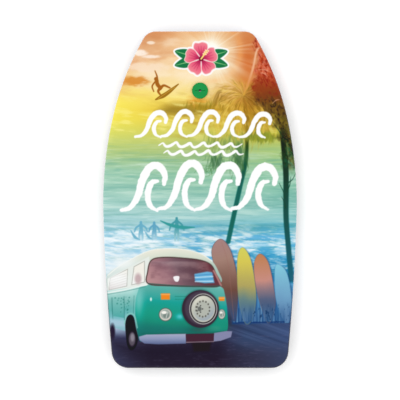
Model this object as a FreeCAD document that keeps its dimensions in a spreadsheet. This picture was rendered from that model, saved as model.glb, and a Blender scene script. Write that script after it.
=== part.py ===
"""A foam bodyboard lying on its bottom sheet, deck up, as an assembly of laminated and moulded pieces.

Frame: +Z up, +Y towards the nose, +X to the rider's right. The origin is on the floor under the middle of
the board. Units are millimetres.

Stations along the board are measured from the middle. Heights are measured from the bottom surface, square
to it, so that every layer keeps its thickness where the nose curves up.
"""

import FreeCAD, Part
import math
import os

import Sketcher
from FreeCAD import Placement, Rotation, Vector

DIMENSIONS = [
    # plan outline: straight nose and tail edges joined by five tangent arcs on each side
    ("board_length", 838.0, "nose edge to tail edge"),
    ("board_width", 483.0, "widest point"),
    ("widest_station", -7.0, "station of the widest point"),
    ("nose_flat", 110.5, "half the straight nose edge"),
    ("tail_flat", 178.5, "half the straight tail edge"),
    ("nose_corner_radius", 35.0, "nose corners"),
    ("shoulder_radius", 690.0, "side, nose third"),
    ("side_radius", 960.0, "side, through the widest point"),
    ("hip_radius", 5500.0, "side, tail half"),
    ("tail_corner_radius", 42.0, "tail corners"),
    # side profile
    ("board_thickness", 50.0, "bottom sheet to printed film"),
    ("rocker_station", 300.0, "where the nose starts to curve up"),
    ("rocker_radius", 450.0, "curve of the bottom surface at the nose"),
    ("deck_edge_radius", 11.0, "rounded edge of the deck"),
    ("chine_inset", 6.0, "how far the bottom edge is set in"),
    ("chine_height", 19.0, "height of the leaning lower rail"),
    # layers
    ("film_thickness", 0.4, "printed film over the deck"),
    ("deck_foam_thickness", 3.6, "soft closed-cell sheet under the film"),
    ("wrap_height", 22.0, "height at which the deck sheet's wrapped edge ends"),
    ("slick_thickness", 1.0, "hard bottom sheet"),
    ("underlay_thickness", 3.0, "soft sheet between core and slick"),
    ("rail_thickness", 9.0, "foam strips round the lower edge"),
    # two planing channels in the bottom, each a round-ended groove cut by a cylinder
    ("channel_spacing", 232.0, "between the channels' middles"),
    ("channel_radius", 34.0, "radius of the cutting cylinder"),
    ("channel_depth", 4.0, "deepest point"),
    ("channel_front_station", -95.0, "where the full depth ends"),
    # screw-in leash plug
    ("plug_station", 272.0, "axis of the plug"),
    ("cap_radius", 20.0, "cap flange"),
    ("cap_thickness", 2.6, "cap flange"),
    ("cap_edge_radius", 1.2, "rounded rim of the cap"),
    ("cap_gasket_thickness", 1.2, "washer under the cap"),
    ("cap_gasket_radius", 18.0, "outside of that washer"),
    ("stem_radius", 8.6, "root of the cap's thread"),
    ("stem_length", 30.0, "below the flange"),
    ("leash_hole_radius", 3.25, "cord hole through the cap"),
    ("leash_exit_radius", 3.5, "cord hole through the floor of the barrel"),
    ("coin_slot_length", 25.0, "slot across either face of the plug"),
    ("coin_slot_width", 2.6, "slot across either face of the plug"),
    ("coin_slot_depth", 1.3, "slot across either face of the plug"),
    ("thread_pitch", 3.0, "rise in one turn"),
    ("thread_depth", 1.1, "root to crest"),
    ("thread_root_width", 1.8, "along the axis"),
    ("thread_crest_width", 0.8, "along the axis"),
    ("thread_turns", 6.0, "turns on each half"),
    ("thread_start", 24.0, "height of the first turn on the cap"),
    ("barrel_bore_radius", 10.0, "root of the barrel's thread"),
    ("barrel_radius", 12.0, "outside of the barrel"),
    ("barrel_top", 46.0, "height of the barrel's mouth"),
    ("barrel_floor", 9.0, "height of the floor inside the barrel"),
    ("barrel_clearance", 0.3, "round the barrel in the foam"),
    ("base_radius", 19.0, "flange under the board"),
    ("base_recess", 0.6, "how far that flange sits above the floor"),
    ("base_gasket_thickness", 1.0, "washer above that flange"),
    ("base_gasket_radius", 18.4, "outside of that washer"),
    ("base_pocket_radius", 19.5, "opening for the flange in the bottom sheets"),
]
# How far a cutting shape runs past what it cuts, in no way a size of the board.
OVERRUN = 40.0
THREAD_BITE = 0.3

doc = FreeCAD.newDocument("bodyboard")
sheet = doc.addObject("Spreadsheet::Sheet", "Dims")


def fill_sheet():
    """Writes each driving dimension to its own row: name, value with an alias, and what it is."""
    for row, (name, value, meaning) in enumerate(DIMENSIONS, start=1):
        sheet.set(f"A{row}", name)
        sheet.set(f"B{row}", str(value))
        sheet.set(f"C{row}", meaning)
        sheet.setAlias(f"B{row}", name)
    doc.recompute()


def value_of(expression):
    """The number that an expression in the sheet's aliases stands for."""
    result = sheet.evalExpression(expression)
    return float(getattr(result, "Value", result))


def origin_feature(body, role):
    """One of the body's own origin planes or axes."""
    return next(f for f in body.Origin.OriginFeatures if f.Role == role)


def new_sketch(body, name, role):
    """A sketch on one of its own body's origin planes."""
    sketch = body.newObject("Sketcher::SketchObject", name)
    sketch.AttachmentSupport = (origin_feature(body, role), [""])
    sketch.MapMode = "FlatFace"
    return sketch


def fix(sketch, kind, *where, size):
    """Adds a dimension whose value is an expression in the sheet's aliases, and binds it."""
    index = sketch.addConstraint(Sketcher.Constraint(kind, *where, value_of(size)))
    sketch.setExpression(f"Constraints[{index}]", size)
    return index


ORIGIN = (-1, 1)
CENTRE = 3
START, END = 1, 2


# ---------------------------------------------------------------- plan outline


def meeting_point(first, first_reach, second, second_reach):
    """Where circles about two points cross, on the tail side of the line between them."""
    span = second - first
    along = (span.Length**2 + first_reach**2 - second_reach**2) / (2 * span.Length)
    across = math.sqrt(first_reach**2 - along**2)
    unit = Vector(span).normalize()
    return first + unit * along - Vector(-unit.y, unit.x, 0) * across


def right_hand_arcs(inset):
    """(centre, radius, first angle, last angle) of the five arcs from tail corner to nose corner."""
    half_length = value_of("Dims.board_length / 2")
    nose_radius = value_of("Dims.nose_corner_radius")
    shoulder_radius = value_of("Dims.shoulder_radius")
    side_radius = value_of("Dims.side_radius")
    hip_radius = value_of("Dims.hip_radius")
    tail_radius = value_of("Dims.tail_corner_radius")
    side = Vector(value_of("Dims.board_width / 2") - side_radius, value_of("Dims.widest_station"), 0)
    nose = Vector(value_of("Dims.nose_flat"), half_length - nose_radius, 0)
    tail = Vector(value_of("Dims.tail_flat"), tail_radius - half_length, 0)
    shoulder = meeting_point(side, side_radius - shoulder_radius, nose, shoulder_radius - nose_radius)
    hip = meeting_point(side, hip_radius - side_radius, tail, hip_radius - tail_radius)
    centres = [tail, hip, side, shoulder, nose]
    radii = [tail_radius, hip_radius, side_radius, shoulder_radius, nose_radius]
    turns = [-math.pi / 2]
    for wide, tight in ((hip, tail), (hip, side), (side, shoulder), (shoulder, nose)):
        run = tight - wide
        turns.append(math.atan2(run.y, run.x))
    turns.append(math.pi / 2)
    return [
        (centre, radius - inset, first, last)
        for centre, radius, first, last in zip(centres, radii, turns, turns[1:])
    ]


def arc_of(centre, radius, first, last):
    return Part.ArcOfCircle(Part.Circle(centre, Vector(0, 0, 1), radius), first, last)


def add_outline(sketch, inset):
    """Draws the outline anticlockwise from the tail edge, moved in by inset, and binds all its sizes."""
    amount = value_of(inset)
    half_length = value_of("Dims.board_length / 2") - amount
    nose_flat = value_of("Dims.nose_flat")
    tail_flat = value_of("Dims.tail_flat")
    right = right_hand_arcs(amount)
    left = [
        (Vector(-centre.x, centre.y, 0), radius, math.pi - last, math.pi - first)
        for centre, radius, first, last in reversed(right)
    ]
    edges = [Part.LineSegment(Vector(-tail_flat, -half_length, 0), Vector(tail_flat, -half_length, 0))]
    edges += [arc_of(*arc) for arc in right]
    edges += [Part.LineSegment(Vector(nose_flat, half_length, 0), Vector(-nose_flat, half_length, 0))]
    edges += [arc_of(*arc) for arc in left]
    ids = list(sketch.addGeometry(edges, False))
    tail_edge, right_ids, nose_edge, left_ids = ids[0], ids[1:6], ids[6], ids[7:]
    for one, following in zip(ids, ids[1:] + ids[:1]):
        sketch.addConstraint(Sketcher.Constraint("Tangent", one, END, following, START))
    for straight in (tail_edge, nose_edge):
        sketch.addConstraint(Sketcher.Constraint("Horizontal", straight))
    fix(sketch, "DistanceY", *ORIGIN, nose_edge, START, size=f"Dims.board_length / 2 - {inset}")
    fix(sketch, "DistanceY", tail_edge, START, *ORIGIN, size=f"Dims.board_length / 2 - {inset}")
    names = ["tail_corner_radius", "hip_radius", "side_radius", "shoulder_radius", "nose_corner_radius"]
    for arc, name in zip(right_ids, names):
        fix(sketch, "Radius", arc, size=f"Dims.{name} - {inset}")
    for arc, twin in zip(right_ids, reversed(left_ids)):
        sketch.addConstraint(Sketcher.Constraint("Equal", arc, twin))
    tail_corner, _, side, _, nose_corner = right_ids
    nose_twin, _, side_twin, _, tail_twin = left_ids
    reach = "Dims.side_radius - Dims.board_width / 2"
    fix(sketch, "DistanceX", side, CENTRE, *ORIGIN, size=reach)
    fix(sketch, "DistanceX", *ORIGIN, side_twin, CENTRE, size=reach)
    for arc in (side, side_twin):
        fix(sketch, "DistanceY", arc, CENTRE, *ORIGIN, size="-Dims.widest_station")
    for arc, twin, name in (
        (tail_corner, tail_twin, "tail_flat"),
        (nose_corner, nose_twin, "nose_flat"),
    ):
        fix(sketch, "DistanceX", *ORIGIN, arc, CENTRE, size=f"Dims.{name}")
        fix(sketch, "DistanceX", twin, CENTRE, *ORIGIN, size=f"Dims.{name}")


def add_frame(sketch):
    """A rectangle well outside the board, so that what lies between it and the outline is cut away."""
    half_width = f"Dims.board_width / 2 + {2 * OVERRUN}"
    half_length = f"Dims.board_length / 2 + {2 * OVERRUN}"
    across, along = value_of(half_width), value_of(half_length)
    corners = [
        Vector(-across, -along, 0),
        Vector(across, -along, 0),
        Vector(across, along, 0),
        Vector(-across, along, 0),
    ]
    sides = [Part.LineSegment(a, b) for a, b in zip(corners, corners[1:] + corners[:1])]
    ids = list(sketch.addGeometry(sides, False))
    for one, following in zip(ids, ids[1:] + ids[:1]):
        sketch.addConstraint(Sketcher.Constraint("Coincident", one, END, following, START))
    for straight, kind in zip(ids, ("Horizontal", "Vertical", "Horizontal", "Vertical")):
        sketch.addConstraint(Sketcher.Constraint(kind, straight))
    low, high = (ids[0], START), (ids[2], START)
    for kind, reach in (("DistanceX", half_width), ("DistanceY", half_length)):
        fix(sketch, kind, *low, *ORIGIN, size=reach)
        fix(sketch, kind, *ORIGIN, *high, size=reach)


# ---------------------------------------------------------------- side profile


def add_band(sketch, low, high):
    """Draws one layer of the side profile between two heights: straight, then curving up."""
    bottom, top = value_of(low), value_of(high)
    start = value_of("Dims.rocker_station")
    radius = value_of("Dims.rocker_radius")
    end = value_of("Dims.board_length / 2") + OVERRUN
    centre = Vector(start, radius, 0)

    def at_end(reach):
        return math.atan2(-math.sqrt(reach**2 - (end - start) ** 2), end - start)

    def end_point(reach):
        return Vector(end, radius - math.sqrt(reach**2 - (end - start) ** 2), 0)

    outer, inner = radius - bottom, radius - top
    ids = list(
        sketch.addGeometry(
            [
                Part.LineSegment(Vector(-end, bottom, 0), Vector(start, bottom, 0)),
                arc_of(centre, outer, -math.pi / 2, at_end(outer)),
                Part.LineSegment(end_point(outer), end_point(inner)),
                arc_of(centre, inner, -math.pi / 2, at_end(inner)),
                Part.LineSegment(Vector(start, top, 0), Vector(-end, top, 0)),
                Part.LineSegment(Vector(-end, top, 0), Vector(-end, bottom, 0)),
            ],
            False,
        )
    )
    low_line, low_arc, nose_line, high_arc, high_line, tail_line = ids
    for join in (
        ("Tangent", low_line, END, low_arc, START),
        ("Coincident", low_arc, END, nose_line, START),
        ("Coincident", nose_line, END, high_arc, END),
        ("Tangent", high_arc, START, high_line, START),
        ("Coincident", high_line, END, tail_line, START),
        ("Coincident", tail_line, END, low_line, START),
        ("Coincident", low_arc, CENTRE, high_arc, CENTRE),
        ("Horizontal", low_line),
        ("Horizontal", high_line),
        ("Vertical", nose_line),
        ("Vertical", tail_line),
    ):
        sketch.addConstraint(Sketcher.Constraint(*join))
    fix(sketch, "DistanceX", *ORIGIN, low_arc, CENTRE, size="Dims.rocker_station")
    fix(sketch, "DistanceY", *ORIGIN, low_arc, CENTRE, size="Dims.rocker_radius")
    fix(sketch, "Radius", low_arc, size=f"Dims.rocker_radius - ({low})")
    fix(sketch, "Radius", high_arc, size=f"Dims.rocker_radius - ({high})")
    fix(sketch, "DistanceX", *ORIGIN, nose_line, START, size=f"Dims.board_length / 2 + {OVERRUN}")
    fix(sketch, "DistanceX", tail_line, START, *ORIGIN, size=f"Dims.board_length / 2 + {OVERRUN}")


def pad_band(name, low, high):
    """A body that holds one layer of the side profile across a width greater than the board's."""
    body = doc.addObject("PartDesign::Body", name)
    profile = new_sketch(body, name + "_profile", "YZ_Plane")
    add_band(profile, low, high)
    pad = body.newObject("PartDesign::Pad", name + "_pad")
    pad.Profile = profile
    pad.SideType = "Symmetric"
    pad.setExpression("Length", f"Dims.board_width + {OVERRUN}")
    doc.recompute()
    return body, pad


def block(name, inset, low, high):
    """A body with the board's outline moved in by inset, between two heights above the bottom."""
    body, pad = pad_band(name, low, high)
    outline = new_sketch(body, name + "_outline", "XY_Plane")
    add_frame(outline)
    add_outline(outline, inset)
    trim = body.newObject("PartDesign::Pocket", name + "_trim")
    trim.Profile = outline
    trim.Type = "ThroughAll"
    trim.SideType = "Symmetric"
    doc.recompute()
    if not trim.Shape.Volume < 0.95 * pad.Shape.Volume:
        raise RuntimeError(f"{name}: trimming to the outline cut nothing")
    return body


def rim_edges(shape, low_side):
    """The names of the edges round the top or bottom of a block, which run along the board's outline."""
    names = []
    for index, edge in enumerate(shape.Edges, start=1):
        faces = shape.ancestorsOfType(edge, Part.Face)
        rises = [face.normalAt(*face.Surface.parameter(edge.CenterOfGravity)).z for face in faces]
        sheer = min(abs(rise) for rise in rises) < 0.1
        if sheer and (min(rises) < -0.5 if low_side else max(rises) > 0.5):
            names.append(f"Edge{index}")
    return names


def round_deck_edge(body, radius):
    """Rounds the whole top rim of a block."""
    base = body.Tip
    fillet = body.newObject("PartDesign::Fillet", body.Name + "_edge")
    fillet.Base = (base, rim_edges(base.Shape, low_side=False))
    fillet.setExpression("Radius", radius)
    doc.recompute()
    if not fillet.Shape.Volume < base.Shape.Volume:
        raise RuntimeError(f"{body.Name}: rounding the deck's edge cut nothing")


def lean_lower_rail(body):
    """Cuts the lower rail back to a set-in bottom edge."""
    base = body.Tip
    chamfer = body.newObject("PartDesign::Chamfer", body.Name + "_chine")
    chamfer.Base = (base, rim_edges(base.Shape, low_side=True))
    chamfer.ChamferType = "Two distances"
    chamfer.setExpression("Size", "Dims.chine_inset")
    chamfer.setExpression("Size2", "Dims.chine_height")
    doc.recompute()
    if not chamfer.Shape.Volume < base.Shape.Volume:
        raise RuntimeError(f"{body.Name}: leaning the lower rail cut nothing")


# ---------------------------------------------------------------- plain tools


def cylinder(name, radius, low, high, station="Dims.plug_station"):
    """An upright cylinder on the board's middle line, between two heights."""
    tool = doc.addObject("Part::Cylinder", name)
    tool.setExpression("Radius", radius)
    tool.setExpression("Height", f"({high}) - ({low})")
    tool.setExpression("Placement.Base.y", station)
    tool.setExpression("Placement.Base.z", low)
    return tool


def channel(name, side, growth):
    """One channel's cutting shape: a lying cylinder that runs out at the tail and ends forward in a ball."""
    radius = f"Dims.channel_radius + {growth}"
    centre_height = "Dims.channel_depth - Dims.channel_radius"
    across = f"{side} * Dims.channel_spacing / 2"
    groove = doc.addObject("Part::Cylinder", name + "_groove")
    groove.Placement = Placement(Vector(), Rotation(Vector(1, 0, 0), 90))
    groove.setExpression("Radius", radius)
    groove.setExpression("Height", f"Dims.board_length / 2 + Dims.channel_front_station + {OVERRUN}")
    ball = doc.addObject("Part::Sphere", name + "_ball")
    ball.setExpression("Radius", radius)
    for piece in (groove, ball):
        piece.setExpression("Placement.Base.x", across)
        piece.setExpression("Placement.Base.y", "Dims.channel_front_station")
        piece.setExpression("Placement.Base.z", centre_height)
    return joined(name, [groove, ball])


def joined(name, pieces):
    whole = doc.addObject("Part::MultiFuse", name)
    whole.Shapes = pieces
    whole.Refine = True
    return whole


def cut(name, base, tool):
    result = doc.addObject("Part::Cut", name)
    result.Base = base
    result.Tool = tool
    return result


def common(name, first, second):
    result = doc.addObject("Part::Common", name)
    result.Base = first
    result.Tool = second
    return result


def box(name, low, high):
    """A box between two corners, each given as three expressions."""
    solid = doc.addObject("Part::Box", name)
    for size, axis, a, b in zip(("Length", "Width", "Height"), "xyz", low, high):
        solid.setExpression(size, f"({b}) - ({a})")
        solid.setExpression(f"Placement.Base.{axis}", a)
    return solid


def polygon_sketch(body, name, corners):
    """A closed profile on the XZ plane whose corners are (radius, height) pairs of expressions."""
    sketch = new_sketch(body, name, "XZ_Plane")
    points = [Vector(value_of(x), value_of(z), 0) for x, z in corners]
    lines = [Part.LineSegment(a, b) for a, b in zip(points, points[1:] + points[:1])]
    ids = list(sketch.addGeometry(lines, False))
    for one, following in zip(ids, ids[1:] + ids[:1]):
        sketch.addConstraint(Sketcher.Constraint("Coincident", one, END, following, START))
    for line, (x, z) in zip(ids, corners):
        fix(sketch, "DistanceX", *ORIGIN, line, START, size=x)
        fix(sketch, "DistanceY", *ORIGIN, line, START, size=z)
    return sketch


def turned(name, corners):
    """A body turned about the plug's axis from a profile of (radius, height) corners."""
    body = doc.addObject("PartDesign::Body", name)
    profile = polygon_sketch(body, name + "_profile", corners)
    turn = body.newObject("PartDesign::Revolution", name + "_turn")
    turn.Profile = profile
    turn.ReferenceAxis = (origin_feature(body, "Z_Axis"), [""])
    turn.Angle = 360
    doc.recompute()
    body.setExpression("Placement.Base.y", "Dims.plug_station")
    return body


def add_thread(body, name, root, crest, start):
    """Winds a thread ridge about the body's axis, from its root radius to its crest radius."""
    reach = THREAD_BITE if value_of(root) > value_of(crest) else -THREAD_BITE
    foot = f"{root} + {reach}"
    half_root = "Dims.thread_root_width / 2"
    half_crest = "Dims.thread_crest_width / 2"
    profile = polygon_sketch(
        body,
        name + "_section",
        [
            (foot, f"{start} - {half_root}"),
            (crest, f"{start} - {half_crest}"),
            (crest, f"{start} + {half_crest}"),
            (foot, f"{start} + {half_root}"),
        ],
    )
    base = body.Tip
    helix = body.newObject("PartDesign::AdditiveHelix", name)
    helix.Profile = profile
    helix.ReferenceAxis = (origin_feature(body, "Z_Axis"), [""])
    helix.Mode = "pitch-turns-angle"
    helix.setExpression("Pitch", "Dims.thread_pitch")
    helix.setExpression("Turns", "Dims.thread_turns")
    doc.recompute()
    if not helix.Shape.Volume > base.Shape.Volume:
        raise RuntimeError(f"{name}: the thread added nothing")


# ---------------------------------------------------------------- the board


def make_layers():
    """The stacked layers of the board, before the plug's holes."""
    skin = "(Dims.film_thickness + Dims.deck_foam_thickness)"
    wrap, top = "Dims.wrap_height", "Dims.board_thickness"
    outer = block("outer_upper", "0", wrap, top)
    round_deck_edge(outer, "Dims.deck_edge_radius")
    middle = block("middle_upper", "Dims.film_thickness", wrap, f"{top} - Dims.film_thickness")
    round_deck_edge(middle, "Dims.deck_edge_radius - Dims.film_thickness")
    inner = block("inner_upper", skin, wrap, f"{top} - {skin}")
    round_deck_edge(inner, f"Dims.deck_edge_radius - {skin}")
    lower = block("outer_lower", "0", "0", wrap)
    lean_lower_rail(lower)
    inside = block("inner_lower", "Dims.rail_thickness", "0", wrap)

    under = "Dims.slick_thickness + Dims.underlay_thickness"
    slick_band, _ = pad_band("slick_band", "0", "Dims.slick_thickness")
    underlay_band, _ = pad_band("underlay_band", "Dims.slick_thickness", under)
    core_band, _ = pad_band("core_band", under, wrap)
    rail_band, _ = pad_band("rail_band", "Dims.slick_thickness", wrap)

    layers = {
        "deck_film": cut("film_layer", outer, middle),
        "deck_foam": cut("foam_layer", middle, inner),
        "foam_core": joined("core_layer", [inner, common("core_lower", inside, core_band)]),
        "bottom_foam": common("underlay_layer", inside, underlay_band),
        "bottom_slick": common("slick_layer", lower, slick_band),
    }
    ring = cut("rail_ring", common("rail_height", lower, rail_band), inside)
    return layers, ring


def make_channels(layers, ring):
    """Presses both channels into the bottom, so that the slick and the sheet above it follow them."""

    def pair(name, growth):
        return joined(name, [channel(f"{name}_left", -1, growth), channel(f"{name}_right", 1, growth)])

    hollow = pair("channel_hollow", "0")
    slick_bed = pair("channel_slick", "Dims.slick_thickness")
    foam_bed = pair("channel_foam", "Dims.slick_thickness + Dims.underlay_thickness")
    above_slick, _ = pad_band("above_slick", "Dims.slick_thickness", "Dims.wrap_height")
    inside = doc.getObject("inner_lower")
    lower = doc.getObject("outer_lower")
    slick_rise = common("slick_rise", slick_bed, lower)
    foam_rise = common("foam_rise", common("foam_rise_inside", foam_bed, inside), above_slick)
    slick = cut("slick_channelled", joined("slick_raised", [layers["bottom_slick"], slick_rise]), hollow)
    foam = cut("foam_channelled", joined("foam_raised", [layers["bottom_foam"], foam_rise]), slick_bed)
    layers["bottom_slick"] = slick
    layers["bottom_foam"] = foam
    layers["foam_core"] = cut("core_channelled", layers["foam_core"], foam_bed)
    return cut("ring_channelled", ring, slick_bed)


def make_plug_holes(layers):
    """Bores the layers for the plug's barrel and sinks the bottom sheets round its flange."""
    bore = "Dims.barrel_radius + Dims.barrel_clearance"
    top = f"Dims.board_thickness + {OVERRUN}"
    finished = {}
    for name, layer in layers.items():
        radius = "Dims.base_pocket_radius" if name in ("bottom_foam", "bottom_slick") else bore
        hole = cylinder(name + "_hole", radius, f"-{OVERRUN}", top)
        finished[name] = cut(name, layer, hole)
    return finished


def make_strips(ring):
    """Splits the lower edge ring into the nose and tail strips and the two rails between them."""
    low, high = f"-{OVERRUN}", f"Dims.board_thickness + {OVERRUN}"
    far = f"Dims.board_length / 2 + {OVERRUN}"
    wide = f"Dims.board_width / 2 + {OVERRUN}"
    nose = box("nose_zone", ("-Dims.nose_flat", "0", low), ("Dims.nose_flat", far, high))
    tail = box("tail_zone", ("-Dims.tail_flat", f"-({far})", low), ("Dims.tail_flat", "0", high))
    left = box("left_zone", (f"-({wide})", f"-({far})", low), ("0", far, high))
    right = box("right_zone", ("0", f"-({far})", low), (wide, far, high))
    sides = cut("side_ring", ring, joined("end_zones", [nose, tail]))
    return {
        "nose_strip": common("nose_strip", ring, nose),
        "tail_strip": common("tail_strip", ring, tail),
        "rail_strip_left": common("rail_strip_left", sides, left),
        "rail_strip_right": common("rail_strip_right", sides, right),
    }


# ---------------------------------------------------------------- the leash plug


def coin_slot(name, low, high):
    """The cutting shape of a slot across the plug's face, between two heights."""
    half_length, half_width = "Dims.coin_slot_length / 2", "Dims.coin_slot_width / 2"
    return box(
        name,
        (f"-{half_length}", f"Dims.plug_station - {half_width}", low),
        (half_length, f"Dims.plug_station + {half_width}", high),
    )


def make_cap():
    """The upper half of the plug: a flange with a coin slot, and a threaded stem with the cord hole."""
    seat = "Dims.board_thickness + Dims.cap_gasket_thickness"
    face = f"{seat} + Dims.cap_thickness"
    foot = f"{seat} - Dims.stem_length"
    hole = "Dims.leash_hole_radius"
    body = turned(
        "plug_cap_body",
        [
            (hole, foot),
            ("Dims.stem_radius", foot),
            ("Dims.stem_radius", seat),
            ("Dims.cap_radius", seat),
            ("Dims.cap_radius", face),
            (hole, face),
        ],
    )
    rim = body.newObject("PartDesign::Fillet", "plug_cap_rim")
    turn = doc.getObject("plug_cap_body_turn")
    edges = [
        f"Edge{index}"
        for index, edge in enumerate(turn.Shape.Edges, start=1)
        if abs(edge.BoundBox.ZMin - value_of(face)) < 0.01
        and abs(edge.BoundBox.XMax - value_of("Dims.cap_radius")) < 0.01
        and edge.Curve.TypeId == "Part::GeomCircle"
    ]
    rim.Base = (turn, edges)
    rim.setExpression("Radius", "Dims.cap_edge_radius")
    doc.recompute()
    add_thread(
        body,
        "plug_cap_thread",
        "Dims.stem_radius",
        "Dims.stem_radius + Dims.thread_depth",
        "Dims.thread_start",
    )
    slot = coin_slot("cap_slot", f"{face} - Dims.coin_slot_depth", f"{face} + {OVERRUN}")
    return cut("plug_cap", body, slot)


def make_base():
    """The lower half of the plug: a flange under the board and a threaded barrel up through the core."""
    flange_top = "Dims.slick_thickness + Dims.underlay_thickness - Dims.base_gasket_thickness"
    body = turned(
        "plug_base_body",
        [
            ("Dims.leash_exit_radius", "Dims.base_recess"),
            ("Dims.base_radius", "Dims.base_recess"),
            ("Dims.base_radius", flange_top),
            ("Dims.barrel_radius", flange_top),
            ("Dims.barrel_radius", "Dims.barrel_top"),
            ("Dims.barrel_bore_radius", "Dims.barrel_top"),
            ("Dims.barrel_bore_radius", "Dims.barrel_floor"),
            ("Dims.leash_exit_radius", "Dims.barrel_floor"),
        ],
    )
    add_thread(
        body,
        "plug_base_thread",
        "Dims.barrel_bore_radius",
        "Dims.barrel_bore_radius - Dims.thread_depth",
        "Dims.thread_start + Dims.thread_pitch / 2",
    )
    face = "Dims.base_recess"
    slot = coin_slot("base_slot", f"{face} - {OVERRUN}", f"{face} + Dims.coin_slot_depth")
    return cut("plug_base", body, slot)


def washer(name, inner, outer, low, high):
    return turned(name, [(inner, low), (outer, low), (outer, high), (inner, high)])


def make_plug():
    under = "Dims.slick_thickness + Dims.underlay_thickness"
    top = "Dims.board_thickness"
    return {
        "plug_cap": make_cap(),
        "plug_base": make_base(),
        "cap_gasket": washer(
            "cap_gasket",
            "Dims.stem_radius + Dims.thread_depth + Dims.barrel_clearance",
            "Dims.cap_gasket_radius",
            top,
            f"{top} + Dims.cap_gasket_thickness",
        ),
        "base_gasket": washer(
            "base_gasket",
            "Dims.barrel_radius + Dims.barrel_clearance",
            "Dims.base_gasket_radius",
            f"{under} - Dims.base_gasket_thickness",
            under,
        ),
    }


# ---------------------------------------------------------------- build and write


def check(pieces):
    """Stops if any object failed to recompute, or a piece has no valid solid."""
    failed = [o.Name for o in doc.Objects if "Invalid" in o.State or "Error" in o.State]
    if failed:
        raise RuntimeError(f"these objects failed to recompute: {failed}")
    for name, piece in pieces.items():
        if piece.Shape.isNull() or not piece.Shape.isValid() or not piece.Shape.Solids:
            raise RuntimeError(f"{name} has no valid solid")


def write(pieces):
    os.makedirs("parts", exist_ok=True)
    for name, piece in pieces.items():
        piece.Label = name
        piece.Shape.exportStep(os.path.join("parts", name + ".step"))
        bounds = piece.Shape.BoundBox
        print(
            f"{name}: {len(piece.Shape.Solids)} solid(s), {piece.Shape.Volume / 1000:.2f} cm3, "
            f"x {bounds.XMin:.2f} to {bounds.XMax:.2f}, y {bounds.YMin:.2f} to {bounds.YMax:.2f}, "
            f"z {bounds.ZMin:.2f} to {bounds.ZMax:.2f}"
        )


fill_sheet()
board_layers, edge_ring = make_layers()
edge_ring = make_channels(board_layers, edge_ring)
subparts = {**make_plug_holes(board_layers), **make_strips(edge_ring), **make_plug()}
doc.recompute()
check(subparts)
write(subparts)
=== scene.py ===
"""The looks of a child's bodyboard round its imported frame.

The printed deck film is made as one fine sheet over the CAD film's own surface. Every other layer keeps its
CAD shape and gets a worked material. The picture on the deck is painted here, shape by shape, on the sheet's
points. Its places are in millimetres from the middle of the board, x to the rider's right, y to the nose.
An ink is six hexadecimal digits, as display values of red, green and blue."""

import math

import bpy
import numpy as np
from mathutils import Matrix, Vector
from mathutils.bvhtree import BVHTree


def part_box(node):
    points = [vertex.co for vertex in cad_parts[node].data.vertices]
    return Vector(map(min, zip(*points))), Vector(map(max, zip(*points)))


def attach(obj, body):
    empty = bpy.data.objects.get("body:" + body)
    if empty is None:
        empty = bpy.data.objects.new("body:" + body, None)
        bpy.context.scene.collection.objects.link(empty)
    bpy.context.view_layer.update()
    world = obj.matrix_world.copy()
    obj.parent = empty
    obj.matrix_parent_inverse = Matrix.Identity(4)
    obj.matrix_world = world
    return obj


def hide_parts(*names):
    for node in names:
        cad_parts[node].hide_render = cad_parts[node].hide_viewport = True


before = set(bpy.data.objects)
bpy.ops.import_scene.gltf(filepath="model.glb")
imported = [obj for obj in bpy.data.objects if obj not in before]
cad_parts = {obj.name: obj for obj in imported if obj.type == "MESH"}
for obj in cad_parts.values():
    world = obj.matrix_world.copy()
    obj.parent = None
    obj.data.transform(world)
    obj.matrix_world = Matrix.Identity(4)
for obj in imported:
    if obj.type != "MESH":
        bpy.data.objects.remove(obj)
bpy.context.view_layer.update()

# ---- The printed sheet, in metres ----

MM = 0.001
GRID = 1.2 * MM  # spacing of the sheet's points
FILM = 0.4 * MM  # thickness of the film
EDGE_RADIUS = 11 * MM  # the deck's rounded edge
EDGE_STEPS = 7  # rings of points round that edge
WALL_STEPS = 4  # rings of points down the upright wall below it
SMOOTHING = 3  # points each side that an outward direction is taken over
BESIDE_PLUG, ABOVE_DECK, UNDER_FLOOR = 0.06, 0.3, -0.1  # where the rays that find the film start
HEM_REACH = 0.12  # how far above UNDER_FLOOR the hem is taken to be where no ray meets it
UP = np.array((0, 0, 1))
FILM_SHINE = 0.018  # light that the film's gloss adds to every colour
STUDIO_BRIGHTNESS = 1.035  # how much the studio's light lifts every colour

# ---- The studio, in metres and watts ----

SURROUNDINGS = 0.94
KEY_PLACE, KEY_POWER = (-1.6, 1.2, 2.6), 17
FILL_PLACE, FILL_POWER = (1.8, -1.4, 2.4), 6
SOFT_BOX = 2.2
FLOOR_HALF = 8.0
FLOOR_SHADE, FLOOR_GLOW = 0.97, 0.18
CAMERA_HEIGHT = 4.0
CAMERA_REACH = 100
FIELD = 0.9916  # width of the deck's plane that the camera sees

# ---- Shades of the picture: the height or place of each stop, and its ink ----

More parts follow.
